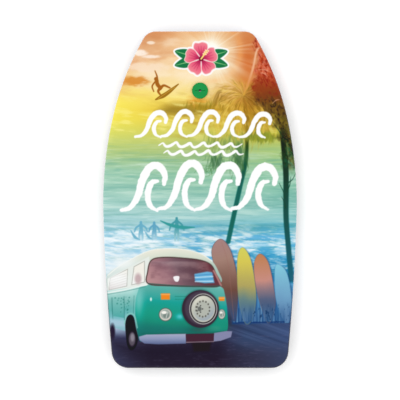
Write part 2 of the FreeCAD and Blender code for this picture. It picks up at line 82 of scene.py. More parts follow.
HALF_WIDTH = 241.5  # of the board: the side columns of colour stand there
LEFT_SIDE = (
    (-345, "40456a"), (-320, "b9d4ee"), (-110, "cae6f4"), (-70, "b4dae4"), (-15, "aad4cc"), (74, "a2ceb2"),
    (123, "b8ce80"), (200, "f6e958"), (255, "fdee66"), (290, "f4d48c"), (350, "eebe94"), (405, "ca8c64"),
)
MIDDLE = (
    (-300, "2b2333"), (-200, "5aa6dc"), (-100, "a6d4e8"), (-72, "8cc6d2"), (-42, "a6d2d0"), (60, "96c8a8"),
    (100, "94bc88"), (165, "d2cc60"), (225, "e6bc44"), (266, "f8e084"), (320, "fbe4b8"), (420, "e4985c"),
)
RIGHT_SIDE = (
    (-305, "466690"), (-220, "5494c0"), (-178, "0c6c9c"), (-136, "46aacc"), (-95, "94cfe4"), (-70, "60b8c8"),
    (-45, "94cccc"), (60, "8ac4a4"), (120, "b4d080"), (165, "c8c44c"), (225, "a8782c"), (290, "9c4a28"),
    (420, "b87448"),
)
ROAD_SHADES = (
    (-240, "464c70"), (-180, "40405e"), (-120, "362f44"), (40, "34304a"), (110, "38486a"), (240, "42547e"),
)
NEAR_ROAD_SHADES = ((-210, "3a3a52"), (-120, "2c2634"), (40, "2b2330"), (150, "3a384c"), (240, "404864"))
TRUNK_SHADES = (
    (-290, "1280a0"), (-60, "00685e"), (40, "06645a"), (105, "1c5038"), (145, "3a4c1c"), (178, "a8983a"),
)
FAR_TRUNK_SHADES = ((-290, "106e96"), (-60, "045652"), (20, "0a4a3e"), (80, "16382c"), (170, "24280f"))
CROWN_SHADES = ((140, "b8b43c"), (190, "d0b038"), (230, "c89a34"), (280, "d89c44"))
GROWTH_SHADES = (
    (60, "1c5a48"), (136, "40502c"), (195, "665628"), (238, "6e4a24"), (265, "843e20"), (312, "bc4a2c"),
    (345, "c84a28"), (395, "c87048"),
)
RIB_SHADES = ((255, "d8a83c"), (290, "e0965a"), (320, "ecae84"), (372, "f4c8a8"))
PETAL_SHADES = ((0, "8c1c44"), (9, "c43262"), (20, "e85a7c"), (41, "f58c98"))
FENCE_SHADES = ((-305, "284c80"), (-268, "3a72a8"), (-205, "5ca8d4"))
PLANK_SHADES = ((0.3, "2c5484"), (0.6, "5c80a8"))
ROOF_SHADES = ((-200, "8fb0aa"), (-152, "b4ccc0"), (-138, "d4dccc"), (-118, "ece9da"))
SIDE_SHADES = (
    (-330, "7fb0bc"), (-308, "98c6d2"), (-290, "7cbcc4"), (-272, "62b2ae"), (-248, "80beb8"),
    (-232, "a8d8d2"), (-212, "d4ece8"),
)
PANEL_SHADES = ((-292, "54aaa6"), (-244, "84c2bc"))
FRONT_SHADES = (
    (-350, "186a68"), (-322, "14786e"), (-307, "068974"), (-285, "009680"), (-263, "109e90"),
    (-248, "34a49c"), (-230, "54aca2"), (-214, "66b6ac"), (-204, "80c6bc"),
)
WINDOW_SHADES = ((-290, "dcd4d4"), (-255, "f4f6f4"), (-225, "f2efe6"))
SCREEN_SHADES = (
    (-140, "bc9092"), (-110, "ac8086"), (-80, "926a74"), (-50, "765a64"), (0, "62444e"), (40, "6c3a42"),
)
BUMPER_SHADES = ((-359, "5c6890"), (-346, "8c96b8"), (-334, "a8acc6"))
HUB_SHADES = ((-300, "a4aeb4"), (-268, "bcc0b6"), (-240, "dedccc"))

# ---- Shapes of the picture ----

SUN = (26, 370)
CLOUDS = (  # centre, radii, ink and cover
    ((-148, 366), (20, 9), "fff2e6", 0.9),
    ((-122, 390), (12, 5), "fff0e0", 0.8),
    ((-120, 356), (26, 5), "fdeadc", 0.9),
    ((-160, 295), (38, 16), "d98a34", 0.9),
    ((-205, 300), (26, 12), "dc9440", 0.7),
    ((-130, 330), (60, 14), "fae2c8", 0.8),
    ((60, 300), (30, 12), "fff0c4", 0.5),
)
HILLS = (  # outline, ink and cover
    (((-112, 214), (-92, 232), (-66, 241), (-40, 240), (-22, 246), (0, 236), (18, 222), (0, 208),
      (-60, 206)), "a68a34", 0.75),
    (((-30, 250), (-8, 258), (16, 250), (14, 236), (-14, 232)), "e8a03c", 0.7),
)
ROAD = ((-260, -330), (-150, -352), (40, -352), (90, -309), (260, -303), (300, -440), (-300, -440))
TRUNK = ((116, 182), (117, 160), (116, 120), (112, 85), (101, 38), (86, -30), (70, -104))
FAR_TRUNK = ((205, 168), (210, 120), (214, 60), (214, -40), (220, -118), (226, -185), (231, -290))
STUBS = (  # foot and tip of the dry stalks on the far trunk
    ((212, 5), (197, 42)), ((214, 40), (238, 66)), ((214, 20), (226, 58)), ((213, -20), (203, 8)),
    ((206, 158), (176, 200)), ((208, 150), (226, 196)), ((206, 150), (190, 204)),
)
CROWN = (108, 260)
CROWN_INKS = (  # ink, cover, seed and the noise level it starts at
    ("a87c28", 0.5, 111, 0.42), ("e8c04c", 0.4, 112, 0.46), ("7e5e1c", 0.5, 113, 0.5),
    ("f6de78", 0.35, 114, 0.54),
)
HANGING_LEAVES = (  # spots (centre, radii and weight), inks, seed and blade size
    ((((10, 232), (60, 16), 0.7),), ("b0902c", "907c24"), 121, (4, 30)),
    ((((150, 156), (52, 15), 0.95),), ("7c8a2a", "5f7026", "a0a838"), 122, (4, 34)),
    ((((60, 140), (70, 30), 0.7),), ("8aa04a", "74904a"), 123, (4, 34)),
    ((((98, 100), (22, 44), 0.85), ((40, 92), (30, 26), 0.7)), ("47743f", "3c6a48"), 124, (4, 34)),
)
TUFTS = (  # centre, spread, number of blades, inks, seed and lean
    ((92, 96), (20, 30), 30, ("47743f", "3c6a48"), 85, -90),
    ((24, 86), (26, 20), 24, ("5c8c52", "4f8656"), 84, -115),
)
GROWTH_EDGE = (  # heights, and how far to the right the growth starts at each
    (60, 140, 180, 220, 250, 290, 345, 395),
    (205, 198, 184, 152, 128, 122, 132, 120),
)
GROWTH_FLECKS = (  # the heights each fleck fades in between, its ink, cover, size and seed
    ((240, 290), "8c2012", 0.6, (7, 12), 141), ((285, 330), "f08460", 0.7, (6, 10), 142),
    ((300, 350), "f6c0a0", 0.5, (5, 8), 143), ((275, 225), "2c2010", 0.7, (9, 16), 144),
    ((250, 200), "8c7a2c", 0.5, (7, 12), 145), ((190, 150), "10180c", 0.8, (10, 24), 146),
    ((170, 120), "2c7450", 0.5, (8, 20), 147), ((268, 236), "2c1c0e", 0.5, (4, 8), 148),
    ((268, 236), "9c7a30", 0.35, (4, 8), 149), ((262, 300), "8c2414", 0.5, (3, 9), 150),
    ((290, 330), "f49880", 0.5, (3, 7), 151),
)
RIB = ((146, 378), (140, 368), (134, 338), (129, 318), (120, 290), (109, 262))
LIT_LEAVES = (((144, 324), (176, 318)), ((150, 316), (168, 308)), ((180, 240), (198, 250)))
EMBLEM = np.array((3.0, 351.0))
PETAL = (  # along and across, as shares of the petal's length
    (0.05, 0), (0.3, 0.2), (0.62, 0.46), (0.93, 0.4), (0.94, 0.14), (1.0, -0.08), (0.88, -0.36),
    (0.56, -0.38), (0.28, -0.18),
)
PETAL_LENGTH, PETAL_TURNS = 41, (90, 162, 234, 306, 18)
LEAF = ((0.2, 0), (0.42, 0.16), (0.7, 0.17), (1.0, 0), (0.7, -0.17), (0.42, -0.16))
LEAF_LENGTH, LEAF_TURNS = 68, (-14, 16, 164, 194)
SURFER = (  # line and widths of the arms, the body and the legs
    (((-112, 321), (-107, 308), (-106, 296)), (2.5, 4, 5)),
    (((-107, 297), (-106, 288), (-99, 279)), (8, 10, 9)),
    (((-111, 295), (-119, 283), (-115, 270)), (4, 4, 3)),
    (((-99, 277), (-90, 285), (-75, 279)), (8, 6, 4)),
    (((-100, 277), (-104, 270), (-98, 261)), (8, 6, 4)),
)
BREAKER = (  # each stroke's places as shares of the breaker's width and height, and its widths
    (((-0.12, 0.0), (0.12, 0.06), (0.32, 0.3), (0.45, 0.66), (0.66, 0.95), (0.9, 0.97), (1.06, 0.78),
      (1.04, 0.58)), (0.5, 1.0, 1.25, 1.2, 0.7)),
    (((0.86, -0.02), (0.66, 0.1), (0.6, 0.36), (0.7, 0.6), (0.86, 0.64)), (0.4, 0.9, 0.95, 0.5)),
)
BREAKER_ROWS = (  # left, right, foot, height, number of breakers, brush width and seed
    (-160, 168, 158, 60, 5, 10.5, 121),
    (-194, 178, -24, 112, 4, 16, 151),
)
RIPPLES = ((-104, 102, 137, 131), (-92, 108, 117, 132))  # left, right, height and seed
RIPPLE_SWING, RIPPLE_PITCH, RIPPLE_BRUSH = 5, 34, 6.5
BATHERS = (  # x and y of the head, height, ink and stride
    (-147, -56, 46, "6cb0c8", 16),
    (-114, -57, 44, "64a8c4", 13),
    (-58, -46, 58, "4a9ca6", 18),
)
CARRIED_BOARDS = (  # line, widths, ink and cover
    (((-98, -52), (-74, -62), (-44, -68), (-14, -68)), (3, 8, 9, 3), "3c9c9c", 0.9),
    (((-172, -76), (-162, -92), (-150, -99)), (3, 8, 3), "74b4cc", 0.75),
    (((-138, -76), (-128, -92), (-118, -98)), (3, 7, 3), "74b4cc", 0.6),
)
LEANING_BOARDS = (  # outline, shades from foot to nose, and ink of the edge
    (((50, -97), (74, -121), (91, -182), (94, -240), (86, -302), (64, -250), (42, -186), (29, -126)),
     ((-300, "34507c"), (-225, "704e44"), (-148, "a48276"), (-100, "a88482")), "5c4044"),
    (((106, -118), (126, -148), (138, -216), (138, -262), (126, -303), (110, -302), (95, -236), (93, -146)),
     ((-300, "3a5e8c"), (-250, "688484"), (-215, "b0a462"), (-153, "d6c858"), (-120, "d4d260")), "8c9468"),
    (((148, -134), (170, -156), (184, -222), (187, -262), (176, -301), (164, -298), (143, -234),
      (134, -164)),
     ((-300, "2c4e78"), (-246, "5a6480"), (-198, "c88e82"), (-138, "c08258")), "84605c"),
    (((195, -160), (216, -182), (228, -248), (223, -300), (208, -298), (189, -246), (186, -174)),
     ((-300, "5a7eaa"), (-235, "74a6c8"), (-165, "84c8dc")), "5c98bc"),
)
VAN_SHADOW = ((-225, -340), (-150, -352), (20, -350), (60, -352), (40, -392), (-130, -404), (-215, -376))
ROOF_LINE = ((-132, -128), (-88, -121), (-38, -123), (2, -134), (30, -152))
VAN_SIDE = ((-233, -226), (-132, -205), (-136, -300), (-150, -336), (-200, -322), (-232, -312))
VAN_PANEL = ((-219, -243), (-189, -242), (-188, -294), (-216, -289))
VAN_SEAMS = (((-189, -240), (-188, -298)), ((-219, -243), (-216, -318)), ((-164, -238), (-166, -284)))
VAN_SILL = ((-226, -294), (-188, -300), (-186, -316), (-226, -312))
VAN_FRONT = (
    (-156, -232), (-148, -214), (-128, -208), (-60, -213), (10, -214), (52, -216), (62, -236), (68, -280),
    (67, -326), (36, -331), (-40, -333), (-104, -334), (-134, -340), (-148, -352), (-156, -330),
    (-161, -290), (-160, -250),
)
FRONT_LIGHTS = (  # centre, radii, ink and cover of the light and shade on the front
    ((-152, -250), (13, 44), "84ccc6", 0.75), ((-16, -220), (40, 13), "4e8c8c", 0.6),
    ((-4, -322), (28, 9), "3c5450", 0.7), ((-104, -284), (40, 24), "08a48a", 0.4),
    ((40, -318), (26, 12), "4c9c84", 0.6),
)
CABIN = ((-232, -226), (-230, -196), (-172, -164), (-126, -140), (-124, -206), (-134, -213))
SIDE_WINDOWS = (
    ((-223, -194), (-180, -172), (-182, -214), (-227, -224)),
    ((-164, -166), (-138, -152), (-138, -204), (-170, -211)),
)
SCREEN = (
    (-128, -207), (-129, -180), (-120, -151), (-90, -144), (-42, -146), (0, -151), (26, -162), (38, -184),
    (48, -212), (0, -214), (-75, -212),
)
SCREEN_SKY = ((-14, -184), (18, -178), (30, -180), (36, -206), (12, -207), (-12, -203))
MIRROR = ((-66, -191), (-52, -190), (-54, -202), (-62, -202))
INDICATORS = ((-86, -240, 11), (54, -246, 7))  # x, y and half width
HEADLAMPS = ((-86, -285, 17, 17), (54, -284, 9, 13))  # x, y, half width and half height
BUMPER = ((-152, -340), (-134, -335), (-35, -333), (-35, -357), (-102, -359), (-138, -357), (-150, -349))
BUMPER_END = ((35, -331), (66, -326), (80, -327), (77, -341), (52, -350), (34, -352))
BLANK_PLATE = ((-36, -334), (35, -332), (34, -350), (-34, -353))
UNDER_PLATE = ((-22, -354), (30, -352), (24, -376), (-16, -378))
SPARE_HUB = np.array((1, -271))
ARCH = (
    (-186, -306), (-181, -290), (-172, -285), (-164, -293), (-159, -318), (-154, -344), (-160, -366),
    (-172, -374), (-181, -362), (-185, -332),
)


# ---- Paint kit: the picture is one colour for each point of the deck ----

LATTICE = 61  # cells after which the noise repeats
WHITE = "ffffff"
FINE = 1.8  # blur of a printed edge


def rgb(ink):
    """An ink as display values from 0 to 1."""
    return np.array([int(ink[i : i + 2], 16) / 255 for i in (0, 2, 4)])


def noise(x, y, size, seed):
    """Smooth random values from 0 to 1, on a lattice with that spacing along x and y."""
    lattice = np.random.default_rng(seed).random((LATTICE, LATTICE))
    across, along = x / size[0], y / size[1]
    i, j = np.floor(across).astype(int), np.floor(along).astype(int)
    s, t = across - i, along - j
    s, t = s * s * (3 - 2 * s), t * t * (3 - 2 * t)
    corner = [[lattice[(i + a) % LATTICE, (j + b) % LATTICE] for b in (0, 1)] for a in (0, 1)]
    low = corner[0][0] * (1 - s) + corner[1][0] * s
    high = corner[0][1] * (1 - s) + corner[1][1] * s
    return low * (1 - t) + high * t


def clouds(x, y, size, seed, octaves=4):
    """Noise with finer and finer detail, from 0 to 1."""
    total, weight, share = 0, 0, 1.0
    for k in range(octaves):
        total = total + share * noise(x, y, (size[0] / 2**k, size[1] / 2**k), seed + k)
        weight, share = weight + share, share / 2
    return total / weight


def ramp(value, stops):
    """Colours that run through (place, ink) stops, the lowest place first."""
    places = [place for place, _ in stops]
    inks = np.array([rgb(ink) for _, ink in stops])
    return np.stack([np.interp(value, places, inks[:, k]) for k in range(3)], axis=-1)


def by_height(stops):
    """An ink that runs through its stops from tail to nose."""
    return lambda x, y: ramp(y, stops)


def step(low, high, value):
    """0 on the low side, 1 on the high side, smooth between."""
    t = np.clip((value - low) / (high - low), 0, 1)
    return t * t * (3 - 2 * t)


def spot(x, y, centre, radii):
    """1 at a centre, fading out evenly along the radii."""
    return np.exp(-(((x - centre[0]) / radii[0]) ** 2 + ((y - centre[1]) / radii[1]) ** 2))


def toward(angle):
    """One step in a direction given in degrees."""
    return np.array([math.cos(math.radians(angle)), math.sin(math.radians(angle))])


def curve(points, closed=False, steps=8):
    """A smooth line through a few points."""
    p = np.array(points, float)
    if closed:
        p = np.vstack([p[-1], p, p[0], p[1]])
    else:
        p = np.vstack([2 * p[0] - p[1], p, 2 * p[-1] - p[-2]])
    t = np.linspace(0, 1, steps, endpoint=False)[:, None]
    runs = [
        0.5 * (2 * b + (c - a) * t + (2 * a - 5 * b + 4 * c - d) * t**2 + (3 * b - a - 3 * c + d) * t**3)
        for a, b, c, d in zip(p, p[1:], p[2:], p[3:])
    ]
    line = np.vstack(runs)
    return line if closed else np.vstack([line, p[-2]])


def loop(points, steps=8):
    """A smooth closed outline through a few points."""
    return curve(points, closed=True, steps=steps)


def bowed(foot, tip, aside):
    """A smooth line from foot to tip, with its middle moved aside."""
    return curve([foot, (np.array(foot) + tip) / 2 + aside, tip])


def from_run(x, y, start, end):
    """How far points are from a straight run, and how far along it they are, from 0 to 1."""
    dx, dy = end[0] - start[0], end[1] - start[1]
    t = np.clip(((x - start[0]) * dx + (y - start[1]) * dy) / max(dx * dx + dy * dy, 1e-9), 0, 1)
    return np.hypot(x - start[0] - t * dx, y - start[1] - t * dy), t


class Picture:
    """The printed picture, a colour for each point. The points are in order of y, to be found quickly."""

    def __init__(self, x, y):
        self.order = np.argsort(y, kind="stable")
        self.x, self.y = x[self.order], y[self.order]
        self.colour = np.zeros((len(x), 3))

    def near(self, shape, margin):
        """The points in the box round a shape."""
        low, high = shape.min(0) - margin, shape.max(0) + margin
        first, last = np.searchsorted(self.y, (low[1], high[1]))
        x = self.x[first:last]
        return first + np.flatnonzero((x > low[0]) & (x < high[0]))

    def lay(self, points, cover, ink):
        """Mixes in an ink, an array of colours, or a function of x and y that gives colours."""
        if isinstance(ink, str):
            ink = rgb(ink)
        elif callable(ink):
            ink = ink(self.x[points], self.y[points])
        cover = np.clip(cover, 0, 1)[:, None]
        self.colour[points] += (ink - self.colour[points]) * cover

    def wash(self, cover, ink):
        """Mixes an ink in over the whole picture."""
        self.lay(slice(None), cover, ink)

    def stroke(self, line, width, ink, cover=1.0, soft=FINE, rough=0.0, seed=0):
        """A brush stroke along a line, with one width or one for each of a few places along it."""
        line = np.array(line, float)
        widths = np.atleast_1d(width).astype(float)
        half = np.interp(np.linspace(0, 1, len(line)), np.linspace(0, 1, len(widths)), widths) / 2
        points = self.near(line, widths.max() / 2 + soft + rough)
        x, y = self.x[points], self.y[points]
        gap = np.full(len(points), np.inf)
        for start, end, wide, next_wide in zip(line, line[1:], half, half[1:]):
            away, t = from_run(x, y, start, end)
            gap = np.minimum(gap, away - wide - (next_wide - wide) * t)
        if rough:
            gap = gap + rough * (2 * clouds(x, y, (7, 7), seed, 3) - 1)
        self.lay(points, cover * (0.5 - gap / soft), ink)

    def outline(self, shape, width, ink, cover=1.0):
        """A brush stroke all the way round a shape."""
        self.stroke([*shape, shape[0]], width, ink, cover)

    def patch(self, shape, ink, cover=1.0, soft=FINE):
        """A filled shape. A large soft gives it a blurred edge."""
        shape = np.array(shape, float)
        points = self.near(shape, soft)
        x, y = self.x[points], self.y[points]
        gap, inside = np.full(len(points), np.inf), np.zeros(len(points), bool)
        for start, end in zip(shape, np.roll(shape, -1, axis=0)):
            gap = np.minimum(gap, from_run(x, y, start, end)[0])
            (ax, ay), (bx, by) = start, end
            if ay != by:
                inside ^= ((ay > y) != (by > y)) & (x < ax + (y - ay) * (bx - ax) / (by - ay))
        self.lay(points, cover * (0.5 + np.where(inside, gap, -gap) / soft), ink)

    def disc(self, centre, radii, ink, cover=1.0, soft=FINE):
        """A filled circle or ellipse."""
        radii = radii * np.ones(2)
        points = self.near(np.array([centre]), radii.max() + soft)
        u, v = (self.x[points] - centre[0]) / radii[0], (self.y[points] - centre[1]) / radii[1]
        self.lay(points, cover * (0.5 + (1 - np.hypot(u, v)) * radii.min() / soft), ink)

    def glow(self, centre, radii, ink, cover):
        """A spot of light or shade that fades out from its middle."""
        points = self.near(np.array([centre]), 2.5 * np.array(radii))
        self.lay(points, cover * spot(self.x[points], self.y[points], centre, radii), ink)

    def colours(self):
        """The colours in the order in which the points were given."""
        back = np.empty_like(self.colour)
        back[self.order] = self.colour
        return np.clip(back, 0, 1)


# ---- The picture, from back to front ----


def paint_background(pic):
    """Sunset and sea as three columns of colour blended across the board."""
    x, y = pic.x, pic.y
    drift = y + 10 * (clouds(x, y, (150, 60), 11) - 0.5)
    left, middle, right = (ramp(drift, stops) for stops in (LEFT_SIDE, MIDDLE, RIGHT_SIDE))
    across = np.clip(x / HALF_WIDTH, -1, 1)[:, None]
    pic.colour[:] = middle + np.where(across < 0, (left - middle) * -across, (right - middle) * across)


def paint_sky(pic):
    """Haze and blurred clouds."""
    x, y = pic.x, pic.y
    high = step(235, 300, y)
    haze = clouds(x, y, (70, 26), 21, 5)
    pic.wash(0.5 * high * step(0.5, 0.8, haze), "fff0dc")
    pic.wash(0.4 * high * step(0.52, 0.3, haze), "d08452")
    torn = clouds(x, y, (16, 7), 27)
    for centre, radii, ink, cover in CLOUDS:
        pic.wash(cover * step(0.25, 0.75, spot(x, y, centre, radii) * (0.45 + torn)), ink)


def paint_sun(pic):
    """The sun's glow, the smoky light to its right, a faint ring, its rays and its white middle."""
    x, y = pic.x, pic.y
    dx, dy = x - SUN[0], y - SUN[1]
    reach, bearing = np.hypot(dx, dy), np.arctan2(dy, dx)
    pic.wash(0.65 * np.exp(-((reach / 92) ** 2)), "ffe2b0")
    pic.glow((118, 322), (30, 96), "d05a1c", 0.75)
    pic.glow((84, 290), (42, 34), "d8882a", 0.5)
    ring = np.exp(-(((reach - 74) / 8) ** 2)) * step(-0.4, 0.7, np.cos(bearing + 0.3))
    pic.wash(0.35 * ring * (0.5 + clouds(x, y, (20, 20), 28)), "f6a458")
    rays = noise(bearing * 7, 0 * bearing, (1, 1), 31) * noise(bearing * 19, 0 * bearing, (1, 1), 32)
    pic.wash(1.4 * rays * np.exp(-reach / 60), "fff6dc")
    pic.wash(1.6 * np.exp(-((reach / 27) ** 2)), "fffdf0")
    pic.glow((40, 322), (48, 22), "fffae6", 0.6)


def paint_far_shore(pic):
    """Soft brown hills behind the beach, and sunlit streaks on the yellow water before them."""
    for shape, ink, cover in HILLS:
        pic.patch(loop(shape), ink, cover, soft=16)
    x, y = pic.x, pic.y
    low = step(130, 175, y) * step(285, 240, y)
    streak = clouds(x, y + 0.12 * x, (46, 10), 41, 5)
    pic.wash(0.5 * low * step(0.52, 0.75, streak), "fff69a")
    pic.wash(0.45 * low * step(0.48, 0.25, streak) * step(-170, 20, x), "a88024")


def paint_sea(pic):
    """Streaks on the water, white surf, the dark back of a swell and the deep water at the right."""
    wet = np.flatnonzero((pic.y > -190) & (pic.y < 172))
    x, y = pic.x[wet], pic.y[wet]
    depth = step(172, 90, y)
    wide, fine = clouds(x, y, (120, 9), 51), clouds(x, y, (34, 3), 57, 3)
    pic.lay(wet, depth * 0.35 * step(0.5, 0.8, wide), "e0f2e6")
    pic.lay(wet, depth * 0.35 * step(0.5, 0.2, wide), "5aa094")
    pic.lay(wet, depth * 0.25 * step(0.55, 0.85, fine), "f2faf4")
    pic.lay(wet, depth * 0.2 * step(0.45, 0.15, fine), "4c9a96")
    surf = step(-48, -84, y) * step(-190, -150, y)
    blue = surf * (0.35 + 0.65 * step(-140, 0, x))
    foam = clouds(x + 30 * clouds(x, y, (60, 20), 62), y, (44, 8), 63, 5)
    spray = clouds(x, y + 0.15 * x, (20, 4), 64)
    pic.lay(wet, 0.5 * blue * step(0.5, 0.3, foam), "3c9cd4")
    pic.lay(wet, 0.75 * surf * step(0.44, 0.66, foam), "f2faff")
    pic.lay(wet, 0.4 * blue * step(0.52, 0.3, spray), "58b4e0")
    pic.lay(wet, 0.45 * surf * step(0.5, 0.7, spray), WHITE)
    swell = step(-94, -76, y) * step(-48, -66, y) * step(-90, -30, x)
    pic.lay(wet, 0.65 * swell * clouds(x, y, (40, 7), 61), "4c9eae")
    deep = step(-116, -160, y) * step(10, 100, x)
    chop = clouds(x, y, (26, 5), 66)
    pic.lay(wet, 0.75 * deep * step(0.4, 0.6, chop), "1c84b8")
    pic.lay(wet, 0.6 * deep * step(0.6, 0.75, chop), "b8e0f2")


def paint_road(pic):
    """Wet dark road, bluer and streaked with light to the right, and darkest at the tail."""
    pic.patch(curve(ROAD), lambda x, y: ramp(
        x + 25 * (clouds(x, y, (60, 14), 71) - 0.5), ROAD_SHADES), soft=2)
    wet = np.flatnonzero((pic.y < -300) & (pic.x > 20))
    x, y = pic.x[wet], pic.y[wet]
    slant = clouds(x + 2.2 * y, y + 0.35 * x, (150, 6), 73)
    pic.lay(wet, 0.22 * step(0.45, 0.75, slant) * step(40, 110, x) * step(-410, -320, y), "6c84b4")
    pic.lay(wet, 0.3 * step(0.5, 0.3, slant) * step(40, 110, x), "2c3450")
    low = np.flatnonzero(pic.y < -330)
    x, y = pic.x[low], pic.y[low]
    pic.lay(low, 0.8 * step(-335, -395, y), ramp(x, NEAR_ROAD_SHADES))
    pic.lay(low, 0.2 * step(0.55, 0.8, clouds(x, y, (14, 3), 75)), "6a6688")


def paint_trunks(pic):
    """Two trunks, olive at the top and sea green against the water, and the far one's dry stalks."""
    pic.stroke(curve(TRUNK), (8, 9, 10, 11, 12, 12), by_height(TRUNK_SHADES), 0.85, soft=3)
    pic.stroke(curve(FAR_TRUNK), (14, 15, 14, 13, 14, 15), by_height(FAR_TRUNK_SHADES), 0.92, soft=3)
    for foot, tip in STUBS:
        pic.stroke(bowed(foot, tip, (3, -3)), (3.5, 1.2), "1c4a38", 0.8)


def paint_crown(pic):
    """The near palm's crown: golden fronds that spread from one point and droop as they go."""
    x, y = pic.x, pic.y
    dx, dy = x - CROWN[0], y - CROWN[1]
    reach = np.hypot(dx, dy)
    lifted = dy + 0.0055 * reach**2
    bearing = np.arctan2(dx, lifted) + 0.4 * (clouds(x, y, (34, 34), 115, 3) - 0.5)
    length = 36 + 84 * (1 - np.maximum(np.cos(bearing), 0))
    ends = clouds(bearing * 60, 0 * bearing, (7, 7), 110, 2)
    inside = step(1.1, 0.6, reach / (length * (0.7 + 0.6 * ends)))
    pic.wash(0.45 * inside, ramp(y, CROWN_SHADES))
    for ink, cover, seed, split in CROWN_INKS:
        frond = clouds(bearing * 60, reach, (8, 70), seed, 3)
        leaf = clouds(bearing * 90 + 0.5 * reach, reach, (6, 12), seed + 40, 2)
        pic.wash(cover * inside * step(split, split + 0.2, 0.6 * frond + 0.4 * leaf), ink)


def paint_blades(pic, spots, inks, seed, size):
    """Soft leaf blades in several inks, thinning out round a few spots."""
    x, y = pic.x, pic.y
    mass = np.max([weight * spot(x, y, centre, radii) for centre, radii, weight in spots], axis=0)
    thin = step(0.05, 0.3, mass)
    for k, ink in enumerate(inks):
        blades = clouds(x + 0.25 * (-1) ** k * y, y, size, seed + 7 * k, 3)
        pic.wash(0.6 * thin * step(0.5, 0.85, 0.75 * mass + 0.9 * (blades - 0.25)), ink)


def paint_tuft(pic, centre, spread, count, inks, seed, lean):
    """Loose blades round a point, most of them leaning one way."""
    rng = np.random.default_rng(seed)
    for _ in range(count):
        foot = np.array(centre) + rng.normal(0, 0.5, 2) * spread
        angle = lean + rng.normal(0, 30)
        reach = 22 * rng.uniform(0.5, 1.2)
        bend = rng.normal(0, 0.16) * reach
        tip = foot + reach * toward(angle)
        middle = (foot + tip) / 2 + bend * toward(angle + 90)
        pic.stroke([foot, middle, tip], (0.9, 1.5, 0.5), rng.choice(inks), 0.5)


def paint_palms(pic):
    """The near palm's crown and the leaves that hang from both palms."""
    pic.glow((62, 276), (46, 20), "fdeec4", 0.75)
    paint_crown(pic)
    pic.glow((132, 252), (26, 20), "7a4a1c", 0.5)
    for leaves in HANGING_LEAVES:
        paint_blades(pic, *leaves)
    for tuft in TUFTS:
        paint_tuft(pic, *tuft)


def paint_right_growth(pic):
    """Red leaves down the right-hand edge, going brown and then dark olive round the far palm."""
    x, y = pic.x, pic.y
    ragged = x - np.interp(y, *GROWTH_EDGE) + 34 * (clouds(x, y, (14, 14), 131) - 0.5)
    within = step(0, 24, ragged) * step(55, 120, y)
    pic.wash(0.95 * within, ramp(y + 16 * (clouds(x, y, (30, 30), 132, 3) - 0.5), GROWTH_SHADES))
    for (faint, full), ink, cover, size, seed in GROWTH_FLECKS:
        fleck = clouds(x + 0.5 * y, y - 0.5 * x, size, seed, 3)
        pic.wash(cover * within * step(faint, full, y) * step(0.54, 0.68, fleck), ink)
    pic.stroke(curve(RIB), (3, 5, 6, 6, 5), by_height(RIB_SHADES), 0.75, soft=3)
    for foot, tip in LIT_LEAVES:
        pic.stroke(bowed(foot, tip, (0, 3)), (1.2, 2.6, 1.2), "f0b08c", 0.6)


def spun(shape, turn, length):
    """An outline given as shares of its length, turned about the emblem's middle."""
    along, across = np.array(shape, float).T[:, :, None] * length
    return loop(EMBLEM + along * toward(turn) + across * toward(turn + 90))


def paint_emblem(pic):
    """A plain hibiscus flower on four leaves, edged in white."""
    leaves = [spun(LEAF, turn, LEAF_LENGTH) for turn in LEAF_TURNS]
    petals = [spun(PETAL, turn, PETAL_LENGTH) for turn in PETAL_TURNS]
    for shape in leaves + petals:
        pic.patch(shape, WHITE)
        pic.outline(shape, 8, WHITE)
    for shape, turn in zip(leaves, LEAF_TURNS):
        pic.patch(shape, "1f7a4a")
        pic.stroke([EMBLEM + 34 * toward(turn), EMBLEM + 64 * toward(turn)], (2.4, 1), "8fcf86")
    for shape, turn in zip(petals, PETAL_TURNS):
        pic.patch(shape, lambda x, y: ramp(np.hypot(x - EMBLEM[0], y - EMBLEM[1]), PETAL_SHADES))
        pic.outline(shape, 1.6, "fbe3dc")
        for side in (-14, 0, 14):
            vein = toward(turn + side)
            pic.stroke([EMBLEM + 10 * vein, EMBLEM + 31 * vein], (2.2, 0.8), "b02a52", 0.55)
    pic.disc(EMBLEM, 6, "7c1638")
    stamen, aside = toward(54), toward(144)
    pic.stroke([EMBLEM, EMBLEM + 24 * stamen], (4, 3), "ffe27a")
    for k in range(6):
        pic.disc(EMBLEM + (13 + 2.6 * k) * stamen + 3 * (-1) ** k * aside, 1.9, "fff2b4")


def paint_surfer(pic):
    """A small faceless surfer leaping with a board, as flat silhouettes."""
    for line, widths in SURFER:
        pic.stroke(curve(line, steps=4), widths, "a8641e")
    pic.disc((-110, 301), (4.2, 5), "a8641e")
    pic.stroke(curve([(-110, 250), (-84, 264), (-54, 288)]), (4, 11, 9, 3), "a0701c")
    pic.stroke([(-104, 252), (-62, 281)], (1, 3, 1), "dcae4c")


def paint_breaker(pic, left, foot, width, height, brush, seed):
    """One breaking wave in two brush strokes: its back and lip, and the hollow under the lip."""
    for places, widths in BREAKER:
        line = curve([(left + u * width, foot + v * height) for u, v in places], steps=6)
        pic.stroke(line, np.array(widths) * brush, WHITE, rough=0.1 * brush, seed=seed)
        seed += 1


